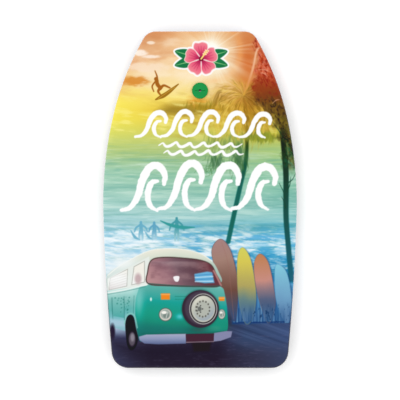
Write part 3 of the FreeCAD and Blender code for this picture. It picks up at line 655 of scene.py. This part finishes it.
def paint_ripple(pic, left, right, height, seed):
    """One hand-painted wavy line."""
    along = np.linspace(0, right - left, int((right - left) / 3))
    turn = along * 2 * math.pi / RIPPLE_PITCH
    sway = 0.09 * RIPPLE_PITCH * np.sin(turn + 0.6)
    rise = RIPPLE_SWING * (np.sin(turn) + 0.25 * np.sin(0.37 * turn + seed))
    widths = np.array((0.4, 1.1, 1, 1.2, 0.9, 1.1, 0.9, 1.2, 1, 0.4)) * RIPPLE_BRUSH
    line = np.stack([left + along + sway, height + rise], axis=1)
    pic.stroke(line, widths, WHITE, rough=0.1 * RIPPLE_BRUSH, seed=seed)


def paint_brushwork(pic):
    """White brush-painted waves: a row of small breakers, two ripples, and a row of tall breakers."""
    for left, right, foot, height, count, brush, seed in BREAKER_ROWS:
        pitch = (right - left) / (count + 0.06)
        rng = np.random.default_rng(seed)
        for k in range(count):
            tall = height * rng.uniform(0.94, 1.06)
            stand = foot + rng.uniform(-0.03, 0.03) * height
            paint_breaker(pic, left + (k + 0.1) * pitch, stand, pitch, tall, brush, seed + 2 * k)
    for ripple in RIPPLES:
        paint_ripple(pic, *ripple)


def paling(ink, top, tall):
    """An ink that goes pale from the top of a figure to its feet."""
    def shade(x, y):
        pale = 0.6 * step(top - 0.25 * tall, top - tall, y)[:, None]
        return rgb(ink) + (rgb("d8ecf6") - rgb(ink)) * pale
    return shade


def paint_bathers(pic):
    """Three small faceless figures with boards, running into the surf."""
    for x, y, tall, ink, stride in BATHERS:
        shade = paling(ink, y, tall)
        pic.disc((x, y), (3.4, 4), shade, 0.9)
        pic.stroke([(x, y - 6), (x + 1, y - 0.5 * tall)], (9, 11, 9), shade, 0.9)
        for side in (-1, 1):
            reach = stride * side
            arm = ((x + 3 * side, y - 7), (x + 0.75 * reach, y - 0.28 * tall), (x + reach, y - 0.5 * tall))
            leg = ((x + 2 * side, y - 0.48 * tall), (x + 4 * side, y - 0.75 * tall),
                   (x + 3.5 * side, y - tall))
            pic.stroke(curve(arm, steps=4), (5.5, 4), shade, 0.85)
            pic.stroke(curve(leg, steps=4), (7, 5), shade, 0.85)
    for line, widths, ink, cover in CARRIED_BOARDS:
        pic.stroke(curve(line), widths, ink, cover)
    for x, y, tall, _, _ in BATHERS:
        pic.glow((x, y - tall - 2), (16, 4), "f4fbff", 0.8)


def paint_fence(pic):
    """A blue slatted fence."""
    pic.patch([(80, -205), (262, -205), (262, -303), (80, -309)], by_height(FENCE_SHADES), 0.9, soft=6)
    rng = np.random.default_rng(141)
    for x in np.arange(84, 246, 7.5):
        slat = rng.choice(("3468a0", "5c94c0", "84b4d4", "2a5488"))
        pic.stroke([(x, -214), (x + 1, -304)], (3, 4), slat, 0.55)
    pic.stroke([(80, -232), (245, -230)], 2.2, "2c5488", 0.6)
    pic.stroke([(82, -306), (236, -302)], 3.2, "1c3c70", 0.9)
    for x in np.arange(96, 240, 27):
        pic.stroke([(x, -270), (x + 1.5, -300)], (2, 3, 1), "1a3a6c", 0.8)


def paint_leaning_boards(pic):
    """Four surfboards leaning on the fence, with its planks showing over their feet."""
    for points, stops, edge in LEANING_BOARDS:
        shape = loop(points)
        pic.patch(shape + (3.5, -1.5), "1d3f74", 0.45, soft=4)
        pic.patch(shape, lambda x, y: ramp(y + 10 * (clouds(x, y, (18, 40), 143) - 0.5), stops))
        pic.outline(shape, 1.6, edge, 0.5)
    pic.stroke(curve([(54, -106), (68, -150), (76, -210), (84, -296)]), 1.2, "9c6c64", 0.5)
    foot = pic.near(np.array([(90, -302), (240, -250)]), 0)
    x, y = pic.x[foot], pic.y[foot]
    planks = ramp(clouds(x, y, (4, 60), 145, 3), PLANK_SHADES)
    pic.lay(foot, 0.6 * step(-250, -292, y) * step(88, 100, x), planks)
    specks = clouds(x, y, (5, 9), 146, 3)
    pic.lay(foot, 0.7 * step(-250, -280, y) * step(0.66, 0.74, specks) * step(92, 104, x), "1c3a64")


def paint_van(pic):
    """A rounded two-tone camper van seen from in front and its right, with a spare wheel on its nose."""
    pic.patch(loop(VAN_SHADOW), "282331", 0.5, soft=24)
    paint_van_body(pic)
    paint_van_front(pic)
    paint_side_windows(pic)
    paint_windscreen(pic)
    paint_lamps_and_bumper(pic)
    paint_spare_wheel(pic)
    paint_van_wheels(pic)


def paint_van_body(pic):
    """Cream roof and green side wall."""
    down = ((46, -178), (52, -205), (0, -205), (-130, -200), (-228, -222))
    roof = loop([(-230, -186), (-195, -160), *ROOF_LINE, *down])
    pic.patch(roof, lambda x, y: ramp(y + 0.12 * abs(x + 60), ROOF_SHADES))
    pic.stroke(curve([(-229, -187), (-195, -161), *ROOF_LINE]), 2.5, "f4f6ec", 0.8)
    pic.glow((-190, -158), (48, 26), "f4f8f8", 0.85)
    pic.patch(VAN_SIDE, lambda x, y: ramp(y + 12 * (clouds(x, y, (24, 18), 161) - 0.5), SIDE_SHADES), soft=3)
    pic.patch(VAN_PANEL, by_height(PANEL_SHADES), 0.7)
    for seam in VAN_SEAMS:
        pic.stroke(seam, 1.4, "1f6a64", 0.7)
    rng = np.random.default_rng(163)
    for _ in range(26):
        spot = (rng.uniform(-212, -172), rng.uniform(-282, -240))
        pic.disc(spot, rng.uniform(0.8, 2.2), "1f7468", 0.45)
    pic.patch(VAN_SILL, "a4c8d8", 0.7, soft=5)


def paint_van_front(pic):
    """The green front panel with its light and shade, vents and seam."""
    front = loop(VAN_FRONT, steps=5)
    pic.patch(front, lambda x, y: ramp(
        y + 0.1 * (x + 60) + 8 * (clouds(x, y, (46, 22), 165) - 0.5), FRONT_SHADES))
    for light in FRONT_LIGHTS:
        pic.glow(*light)
    pic.stroke([(-62, -240), (-26, -240)], 2.2, "2a8674", 0.7)
    pic.stroke([(-62, -247), (-26, -247)], 2.2, "2a8674", 0.6)
    pic.disc((-122, -247), (2.4, 4.5), "d8f2ec", 0.9)
    pic.glow((-50, -290), (10, 7), "6cd0dc", 0.8)
    pic.stroke([(-145, -332), (-60, -331), (20, -330), (66, -326)], 2.2, "176a5c", 0.8)


def paint_side_windows(pic):
    """The pale cabin wall with two windows, a blind in one and a seat seen through the other."""
    pic.patch(CABIN, "e6ece6", 0.9)
    pic.stroke([(-231, -231), (-190, -224), (-134, -211), (-124, -208)], 3, "f2f8f4", 0.8)
    pic.stroke([(-231, -235), (-190, -228), (-136, -216)], 1.4, "4c8c84", 0.8)
    for window in SIDE_WINDOWS:
        pic.patch(window, lambda x, y: ramp(y + 0.3 * x, WINDOW_SHADES))
        pic.outline(window, 1.6, "8e8f86", 0.7)
    for k in range(5):
        pic.stroke([(-222, -218 + 6 * k), (-184, -207 + 6 * k)], 1.6, "c2bfba", 0.6)
    pic.disc((-154, -196), (9, 14), "c6aeb0", 0.8, soft=5)
    pic.glow((-214, -196), (30, 26), "fdfefe", 0.6)


def paint_windscreen(pic):
    """The curved windscreen: its rubber, dim cabin, haze, reflected sky and the white inside mirror."""
    screen = loop(SCREEN, steps=5)
    pic.outline(screen, 6, "54403e", 0.85)
    pic.patch(screen, lambda x, y: ramp(
        x + 0.5 * (y + 180) + 26 * (clouds(x, y, (40, 24), 171) - 0.5), SCREEN_SHADES))
    shine = pic.near(screen, 0)
    x, y = pic.x[shine], pic.y[shine]
    haze = clouds(x, y, (34, 16), 173)
    within = step(-150, -156, y) * step(-208, -200, y) * step(-126, -120, x)
    within = within * step(36, 26, x + 0.2 * (y + 190))
    pic.lay(shine, 0.3 * within * step(0.45, 0.8, haze), "c09c9c")
    pic.lay(shine, 0.6 * within * step(-180, -148, y + 0.1 * x) * step(30, -110, x), "b8a8ae")
    pic.lay(shine, 0.22 * within * step(0.5, 0.25, haze), "50303c")
    pic.patch(SCREEN_SKY, "6cb4dc", 0.9, soft=3)
    for k in range(4):
        pic.stroke([(-12, -188 - 5 * k), (32, -184 - 6 * k)], 2.4, "d4ecfa" if k % 2 else "4488c0", 0.7)
    pic.patch(loop(MIRROR), "f4f2f4", 0.95)
    pic.stroke(curve([(34, -176), (44, -195), (52, -212)]), 5, "b07a78", 0.8)
    pic.stroke(curve([(-128, -208), (-60, -213), (0, -215), (50, -214)]), 3, "3c5a54", 0.8)


def paint_lamps_and_bumper(pic):
    """Indicators, headlamps, the pale bumper and a blank panel in its middle."""
    for x, y, half in INDICATORS:
        box = np.array([(-1, 0.7), (1, 0.7), (1, -0.7), (-1, -0.7)]) * half + (x, y)
        pic.patch(box, "f08a2a", soft=2.5)
        pic.stroke(box[:2] + (0, -3), 2, "fbc27a", 0.8)
    for x, y, wide, tall in HEADLAMPS:
        rim = np.array((wide, tall))
        pic.disc((x, y), rim, "5a6a66")
        pic.disc((x, y), 0.86 * rim, "d4d0c6")
        pic.disc((x, y + 1), 0.7 * rim, "a0aca4")
        pic.disc((x + 0.1 * wide, y - 0.12 * tall), 0.44 * rim, "7c8a84", 0.9)
        pic.disc((x - 0.2 * wide, y + 0.3 * tall), (0.385 * wide, 0.22 * tall), "f6f4ec", 0.95)
        pic.stroke([(x + 0.1 * wide, y - 0.5 * tall), (x + 0.3 * wide, y + 0.3 * tall)], 2, "e8ece4", 0.7)
    pic.patch(BUMPER, by_height(BUMPER_SHADES))
    pic.patch(BUMPER_END, "8688aa")
    pic.patch(BLANK_PLATE, "4a2c3a")
    pic.patch(UNDER_PLATE, "2a1a28", 0.8, soft=5)
    pic.stroke([(-34, -354), (34, -352)], 2, "a88c98", 0.8)


def paint_spare_wheel(pic):
    """The spare wheel: dark tyre, pale rim with a ring of holes, and five nuts."""
    pic.disc(SPARE_HUB, (48, 49), "1f5a50", 0.5, soft=5)
    pic.disc(SPARE_HUB, (46, 47), "3b2f3c")
    pic.disc(SPARE_HUB + (2, 2), (41, 42), "4c4150", 0.8, soft=4)
    face = SPARE_HUB + (7, 0)
    pic.disc(face, (34.5, 38), "dfe2d8")
    pic.disc(face, (33, 36.5), "2f2830")
    pic.disc(face, (29.5, 33), "c4c6ba")
    pic.disc(face + (1, 1), (27, 30.5), lambda x, y: ramp(y - 0.5 * x, HUB_SHADES))
    pic.disc(face - (2, 0), (19, 22), "b4b8ae", 0.6, soft=3)
    for k in range(14):
        angle = 2 * math.pi * k / 14 + 0.2
        pic.disc(face - (1, 0) + (17 * math.cos(angle), 19.5 * math.sin(angle)), (2, 2.4), "5c5a54", 0.85)
    pic.disc(SPARE_HUB - (2, 0), (5, 6), "6c706c")
    for k in range(5):
        pic.disc(SPARE_HUB - (2, 0) + (7.5, 8.5) * toward(72 * k), 1.6, "3c3a3c")


def paint_van_wheels(pic):
    """The near front wheel in its arch, and the edge of the rear one."""
    pic.patch(loop(ARCH), "221a28")
    edge = curve([(-188, -308), (-183, -288), (-172, -282), (-162, -290), (-156, -318)])
    pic.stroke(edge, 3, "8accc0", 0.7)
    pic.disc((-169, -346), (8, 17), "5c5460", soft=3)
    pic.disc((-168, -342), (5, 10), "8a8490", 0.9, soft=3)
    pic.disc((-218, -328), (7, 20), "2c2438", 0.9, soft=4)


def paint_edge_shade(pic, inset):
    """Painted shade: a dark line on the deck's rounded edge and wall round the tail, where the edge turns
    away from the light.
    """
    # Painted shade: points less than about 3 mm in from the rim are darkened, more and more from y -150
    # toward the tail.
    dark = step(3.2, 1.2, inset[pic.order])
    pic.wash(0.7 * dark * step(-150, -380, pic.y), "2a2430")


def paint(pic, inset):
    """The whole picture. Inset is how far each point is from the board's edge."""
    for part in (paint_background, paint_sky, paint_sun, paint_far_shore, paint_sea, paint_road,
                 paint_trunks, paint_palms, paint_right_growth, paint_emblem, paint_surfer, paint_bathers,
                 paint_fence, paint_leaning_boards, paint_van, paint_brushwork):
        part(pic)
    paint_edge_shade(pic, inset)


# ---- The printed sheet ----


def deck_outline(film, plug):
    """The right-hand half of the deck's outline, tail to nose, as even points with outward directions."""
    rim = set()
    for face in film.data.polygons:
        upright = abs(face.normal.z) < 0.02
        outward = face.normal.x * face.center.x + face.normal.y * face.center.y > 0
        if upright and outward and (face.center.xy - plug).length > 3 * EDGE_RADIUS:
            rim.update(face.vertices)
    corners = np.array([film.data.vertices[k].co.xy for k in rim])
    corners = corners[corners[:, 0] > 0]
    corners = corners[np.argsort(np.arctan2(corners[:, 1], corners[:, 0]))]
    corners = np.vstack([(0, corners[:, 1].min()), corners, (0, corners[:, 1].max())])
    travelled = np.concatenate([[0], np.cumsum(np.hypot(*np.diff(corners, axis=0).T))])
    places = np.linspace(0, travelled[-1], round(travelled[-1] / GRID))
    edge = np.stack([np.interp(places, travelled, corners[:, k]) for k in (0, 1)], axis=1)
    before, after = edge[SMOOTHING:0:-1] * (-1, 1), edge[-2 : -2 - SMOOTHING : -1] * (-1, 1)
    longer = np.vstack([before, edge, after])
    along = longer[2 * SMOOTHING :] - longer[: -2 * SMOOTHING]
    out = np.stack([along[:, 1], -along[:, 0]], axis=1)
    return edge, out / np.hypot(*out.T)[:, None]


def surface_of(node):
    """A node's mesh, ready for rays."""
    mesh = node.data
    return BVHTree.FromPolygons([v.co for v in mesh.vertices], [p.vertices for p in mesh.polygons])


def struck(surface, start, heading, otherwise):
    """Where a ray meets the surface."""
    hit = surface.ray_cast(Vector(start), Vector(heading))[0]
    return otherwise if hit is None else np.array(hit)


def flat_rows(surface, edge, out):
    """The rows of the sheet's flat part: for each its y, half width, height and outward direction."""
    inner = edge - EDGE_RADIUS * out
    low, high = inner[:, 1].min(), inner[:, 1].max()
    first = np.flatnonzero(inner[:, 1] < low + GRID / 8)[-1]
    last = np.flatnonzero(inner[:, 1] > high - GRID / 8)[0]
    rows = slice(first, last + 1)
    heights = [struck(surface, (BESIDE_PLUG, y, ABOVE_DECK), -UP, None)[2] for y in inner[rows, 1]]
    return inner[rows, 1], inner[rows, 0], np.array(heights), out[rows]


def open_hole(points, faces, film, plug):
    """Leaves the plug's hole out of the sheet, with its points drawn onto a clean circle."""
    radius = min((v.co.xy - plug).length for v in film.data.vertices)
    off = points[:, :2] - np.array(plug)
    reach = np.hypot(*off.T)
    close = abs(reach - radius) < 0.6 * GRID
    points[close, :2] = np.array(plug) + off[close] * (radius / reach[close])[:, None]
    middle = points[faces].mean(axis=1)[:, :2] - np.array(plug)
    return points, faces[np.hypot(*middle.T) > radius]


def flat_sheet(surface, film):
    """The flat part's points and faces, and the loop of points round it with their outward directions."""
    plug = sum(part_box("plug_cap"), Vector()).xy / 2
    ys, halves, heights, outs = flat_rows(surface, *deck_outline(film, plug))
    columns = 2 * round(halves.max() / GRID) + 1
    xs = halves[:, None] * np.linspace(-1, 1, columns)
    points = np.stack(np.broadcast_arrays(xs, ys[:, None], heights[:, None]), axis=-1)
    number = np.arange(xs.size).reshape(xs.shape)
    faces = np.stack([number[:-1, :-1], number[:-1, 1:], number[1:, 1:], number[1:, :-1]], axis=-1)
    points, faces = open_hole(points.reshape(-1, 3), faces.reshape(-1, 4), film, plug)
    round_edge = np.concatenate([number[:, -1], number[-1, -2::-1], number[-2::-1, 0], number[0, 1:-1]])
    across = np.zeros((columns - 2, 2))
    lean = np.concatenate([outs, across + (0, 1), outs[::-1] * (-1, 1), across - (0, 1)])
    return points, faces, round_edge, np.hstack([lean, np.zeros((len(lean), 1))])


def rounded_rings(surface, foot, outward):
    """Rings of points round the deck's rounded edge, each with how far in from the edge it is."""
    centre = foot - EDGE_RADIUS * UP
    for angle in np.linspace(0, math.pi / 2, EDGE_STEPS + 1)[1:]:
        heading = outward * math.sin(angle) + UP * math.cos(angle)
        start, expected = centre + 3 * EDGE_RADIUS * heading, centre + EDGE_RADIUS * heading
        ring = np.array([struck(surface, s, -h, e) for s, h, e in zip(start, heading, expected)])
        yield ring, EDGE_RADIUS * (1 - math.sin(angle))


def wall_rings(surface, top, outward):
    """Rings down the upright wall to the film's hem, and one across it. Their insets are below zero."""
    below = top - outward * FILM / 2
    below[:, 2] = UNDER_FLOOR
    hem = np.array([struck(surface, start, UP, start + HEM_REACH * UP)[2] for start in below])
    for part in np.linspace(0, 1, WALL_STEPS + 1)[1:]:
        ring = top.copy()
        ring[:, 2] += (hem - top[:, 2]) * part
        yield ring, -part
    yield ring - FILM * outward, -part


def sheet_points(surface, film):
    """The sheet's points, its faces, and how far each point is from the edge."""
    points, faces, inner, outward = flat_sheet(surface, film)
    rings = list(rounded_rings(surface, points[inner], outward))
    rings += wall_rings(surface, rings[-1][0], outward)
    insets = [np.full(len(points), EDGE_RADIUS)]
    bands = [faces]
    for k, (ring, inset) in enumerate(rings):
        outer = len(points) + k * len(ring) + np.arange(len(ring))
        bands.append(np.stack([inner, outer, np.roll(outer, -1), np.roll(inner, -1)], axis=-1))
        insets.append(np.full(len(ring), inset))
        inner = outer
    return np.vstack([points, *(ring for ring, _ in rings)]), np.vstack(bands), np.concatenate(insets)


def linear(colour):
    """Display values as the linear light that the renderer works in."""
    return np.where(colour < 0.04045, colour / 12.92, ((colour + 0.055) / 1.055) ** 2.4)


def printed_deck(film):
    """The deck film as one fine sheet that carries the picture in its points."""
    points, faces, inset = sheet_points(surface_of(film), film)
    used = np.unique(faces)
    renumber = np.full(len(points), -1)
    renumber[used] = np.arange(len(used))
    points, faces, inset = points[used], renumber[faces], inset[used]
    mesh = bpy.data.meshes.new("printed_deck")
    mesh.from_pydata(points.tolist(), [], faces.tolist())
    picture = Picture(points[:, 0] / MM, points[:, 1] / MM)
    paint(picture, inset / MM)
    colour = np.ones((len(points), 4), np.float32)
    colour[:, :3] = np.clip((linear(picture.colours()) - FILM_SHINE) / STUDIO_BRIGHTNESS, 0, 1)
    mesh.color_attributes.new("print", "FLOAT_COLOR", "POINT").data.foreach_set("color", colour.ravel())
    mesh.shade_smooth()
    deck = bpy.data.objects.new("printed_deck", mesh)
    bpy.context.scene.collection.objects.link(deck)
    deck.data.materials.append(printed_film())
    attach(deck, "board")
    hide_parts("deck_film")


# ---- Materials ----

FACTOR, FIRST, SECOND, MIXED = 0, 6, 7, 2  # where a Mix node has its inputs and its output for colours


class Nodes:
    """A material's node tree, with short calls for the few kinds of node used here."""

    def __init__(self, name):
        self.material = bpy.data.materials.new(name)
        self.material.use_nodes = True
        self.tree = self.material.node_tree
        self.shader = self.tree.nodes["Principled BSDF"]
        self.place = self.tree.nodes.new("ShaderNodeTexCoord").outputs["Object"]

    def fill(self, node, sockets):
        """Gives each of a node's inputs a value, or a link from another node's output."""
        for socket, value in sockets.items():
            if isinstance(value, bpy.types.NodeSocket):
                self.tree.links.new(value, node.inputs[socket])
            else:
                node.inputs[socket].default_value = value

    def add(self, kind, sockets, **settings):
        """The outputs of a new node of a kind."""
        node = self.tree.nodes.new("ShaderNode" + kind)
        for key, value in settings.items():
            setattr(node, key, value)
        self.fill(node, sockets)
        return node.outputs

    def scaled(self, size):
        """The place of a point, stretched by a size along each axis."""
        return self.add("Mapping", {"Scale": size, "Vector": self.place})["Vector"]

    def noise(self, scale, detail=4.0, rough=0.55, place=None):
        """Cloudy noise. A larger scale is finer."""
        sockets = {"Scale": scale, "Detail": detail, "Roughness": rough, "Vector": place or self.place}
        return self.add("TexNoise", sockets)["Fac"]

    def cells(self, scale):
        """Rounded cells with thin walls, as foam has."""
        sockets = {"Scale": scale, "Smoothness": 0.4, "Vector": self.place}
        return self.add("TexVoronoi", sockets, feature="SMOOTH_F1")["Distance"]

    def band(self, source, low, high, to_low=0.0, to_high=1.0):
        """A value moved from one range to another."""
        sockets = {"Value": source, "From Min": low, "From Max": high, "To Min": to_low, "To Max": to_high}
        return self.add("MapRange", sockets)["Result"]

    def between(self, source, first, second):
        """A colour from first to second as the source goes from 0 to 1."""
        sockets = {FACTOR: source, FIRST: (*first, 1), SECOND: (*second, 1)}
        return self.add("Mix", sockets, data_type="RGBA")[MIXED]

    def darker(self, colour, source, least):
        """A colour multiplied by a grey that goes from least to 1 with the source."""
        sockets = {FACTOR: 1.0, FIRST: colour, SECOND: self.between(source, (least,) * 3, (1, 1, 1))}
        return self.add("Mix", sockets, data_type="RGBA", blend_type="MULTIPLY")[MIXED]

    def set(self, **values):
        """Gives the surface values, or sources for values that vary over it."""
        self.fill(self.shader, {key.replace("_", " "): value for key, value in values.items()})

    def surface(self, colour, rough, shine, *bumps):
        """The finished material. Rough is a source and two limits, a bump a source, strength and depth."""
        source, low, high = rough
        rough = self.band(source, 0.3, 0.7, low, high)
        normal = {}
        for source, strength, depth in bumps:
            sockets = {"Height": source, "Strength": strength, "Distance": depth, **normal}
            normal = {"Normal": self.add("Bump", sockets)["Normal"]}
        self.set(Base_Color=colour, Roughness=rough, Specular_IOR_Level=shine, **normal)
        return self.material


def tone(ink):
    """An ink as linear light."""
    return tuple(linear(rgb(ink)))


def printed_film():
    """Satin film over soft foam: the print, its fine dot grain, and the foam's cells showing through."""
    nodes = Nodes("printed_film")
    print_ink = nodes.add("Attribute", {}, attribute_name="print")["Color"]
    grained = nodes.darker(print_ink, nodes.band(nodes.noise(1400, 2), 0.35, 0.65), 0.95)
    return nodes.surface(grained, (nodes.noise(55, 5), 0.34, 0.48), 0.15,
                         (nodes.cells(520), 0.25, 0.0002), (nodes.noise(16, 3), 0.2, 0.0012))


def foam(name, light, dark, cell, shine=0.25):
    """Foam with small even cells, slow changes of shade, and a few open pores painted darker as shade in
    their hollows.
    """
    nodes = Nodes(name)
    pores = nodes.cells(cell)
    shade = nodes.between(nodes.band(nodes.noise(24, 6), 0.35, 0.65), tone(dark), tone(light))
    # Painted shade: the colour is darkened in the cells' hollows, the same pores that the bump below sinks.
    pore_shaded = nodes.darker(shade, nodes.band(pores, 0.05, 0.4), 0.7)
    bumps = (pores, 0.5, 0.0004), (nodes.noise(1800, 3), 0.3, 0.0002), (nodes.noise(30, 3), 0.25, 0.001)
    return nodes.surface(pore_shaded, (nodes.noise(160, 4), 0.6, 0.85), shine, *bumps)


def slick_sheet():
    """The hard bottom sheet: blue polyethylene with long fine scratches and a faint orange-peel surface."""
    nodes = Nodes("slick_sheet")
    scratches = nodes.noise(60, 8, 0.7, nodes.scaled((14, 0.7, 14)))
    blue = nodes.between(nodes.band(nodes.noise(7, 4), 0.35, 0.65), tone("165d95"), tone("1b6aa4"))
    scratched = nodes.darker(blue, nodes.band(scratches, 0.3, 0.5), 0.86)
    return nodes.surface(scratched, (scratches, 0.22, 0.42), 0.5,
                         (scratches, 0.3, 0.00012), (nodes.noise(260, 3), 0.25, 0.0002))


def plug_plastic():
    """Moulded green plastic with a fine spark-eroded grain and slow changes of shade."""
    nodes = Nodes("plug_plastic")
    green = nodes.between(nodes.band(nodes.noise(70, 6), 0.3, 0.7), tone("008a3c"), tone("009244"))
    return nodes.surface(green, (nodes.noise(900, 3), 0.34, 0.48), 0.2,
                         (nodes.noise(1600, 3), 0.3, 0.00008), (nodes.noise(90, 2), 0.15, 0.0002))


def gasket_rubber():
    """Black rubber with a dusty bloom."""
    nodes = Nodes("gasket_rubber")
    black = nodes.between(nodes.band(nodes.noise(240, 5), 0.4, 0.7), tone("151515"), tone("2c2b2a"))
    return nodes.surface(black, (nodes.noise(600, 4), 0.65, 0.85), 0.5, (nodes.noise(1500, 3), 0.4, 0.0001))


def dress(material, *names):
    """Gives CAD nodes a material."""
    for name in names:
        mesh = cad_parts[name].data
        mesh.materials.clear()
        mesh.materials.append(material)


def dress_nodes():
    """A worked material on every CAD node that stays."""
    dress(foam("core_foam", "eeeee9", "e2e2dc", 260), "foam_core")
    dress(foam("skin_foam", "e0e2e4", "d2d5d8", 620), "deck_foam", "bottom_foam")
    dress(foam("rail_foam", "2b2f3a", "1d2029", 640, 0.35),
          "rail_strip_left", "rail_strip_right", "nose_strip", "tail_strip")
    dress(slick_sheet(), "bottom_slick")
    dress(plug_plastic(), "plug_base", "plug_cap")
    dress(gasket_rubber(), "base_gasket", "cap_gasket")


# ---- Studio ----


def studio_floor():
    """A plain pale floor with a faint glow, so that it comes out almost white."""
    mesh = bpy.data.meshes.new("floor")
    corners = [(x * FLOOR_HALF, y * FLOOR_HALF, 0) for x, y in ((-1, -1), (1, -1), (1, 1), (-1, 1))]
    mesh.from_pydata(corners, [], [(0, 1, 2, 3)])
    floor = bpy.data.objects.new("floor", mesh)
    bpy.context.scene.collection.objects.link(floor)
    nodes = Nodes("studio_floor")
    nodes.set(Base_Color=(FLOOR_SHADE, FLOOR_SHADE, FLOOR_SHADE, 1), Roughness=0.9, Specular_IOR_Level=0.0,
              Emission_Color=(1, 1, 1, 1), Emission_Strength=FLOOR_GLOW)
    mesh.materials.append(nodes.material)


def soft_light(name, place, power):
    """A square soft box aimed at the middle of the board."""
    light = bpy.data.lights.new(name, "AREA")
    light.size, light.energy = SOFT_BOX, power
    lamp = bpy.data.objects.new(name, light)
    lamp.location = place
    lamp.rotation_euler = Vector(place).to_track_quat("Z", "Y").to_euler()
    bpy.context.scene.collection.objects.link(lamp)


def studio():
    """Even pale surroundings, two soft boxes and a camera straight above the deck, as in a catalogue."""
    scene = bpy.context.scene
    scene.view_settings.view_transform = "Standard"
    world = bpy.data.worlds.new("studio")
    world.use_nodes = True
    background = world.node_tree.nodes["Background"].inputs
    background["Color"].default_value = (1, 1, 1, 1)
    background["Strength"].default_value = SURROUNDINGS
    scene.world = world
    soft_light("key", KEY_PLACE, KEY_POWER)
    soft_light("fill", FILL_PLACE, FILL_POWER)
    camera = bpy.data.objects.new("camera", bpy.data.cameras.new("camera"))
    camera.location = (0, 0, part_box("deck_foam")[1].z + CAMERA_HEIGHT)
    camera.data.lens = camera.data.sensor_width * CAMERA_HEIGHT / FIELD
    camera.data.clip_end = CAMERA_REACH
    scene.collection.objects.link(camera)
    scene.camera = camera


printed_deck(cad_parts["deck_film"])
dress_nodes()
studio_floor()
studio()
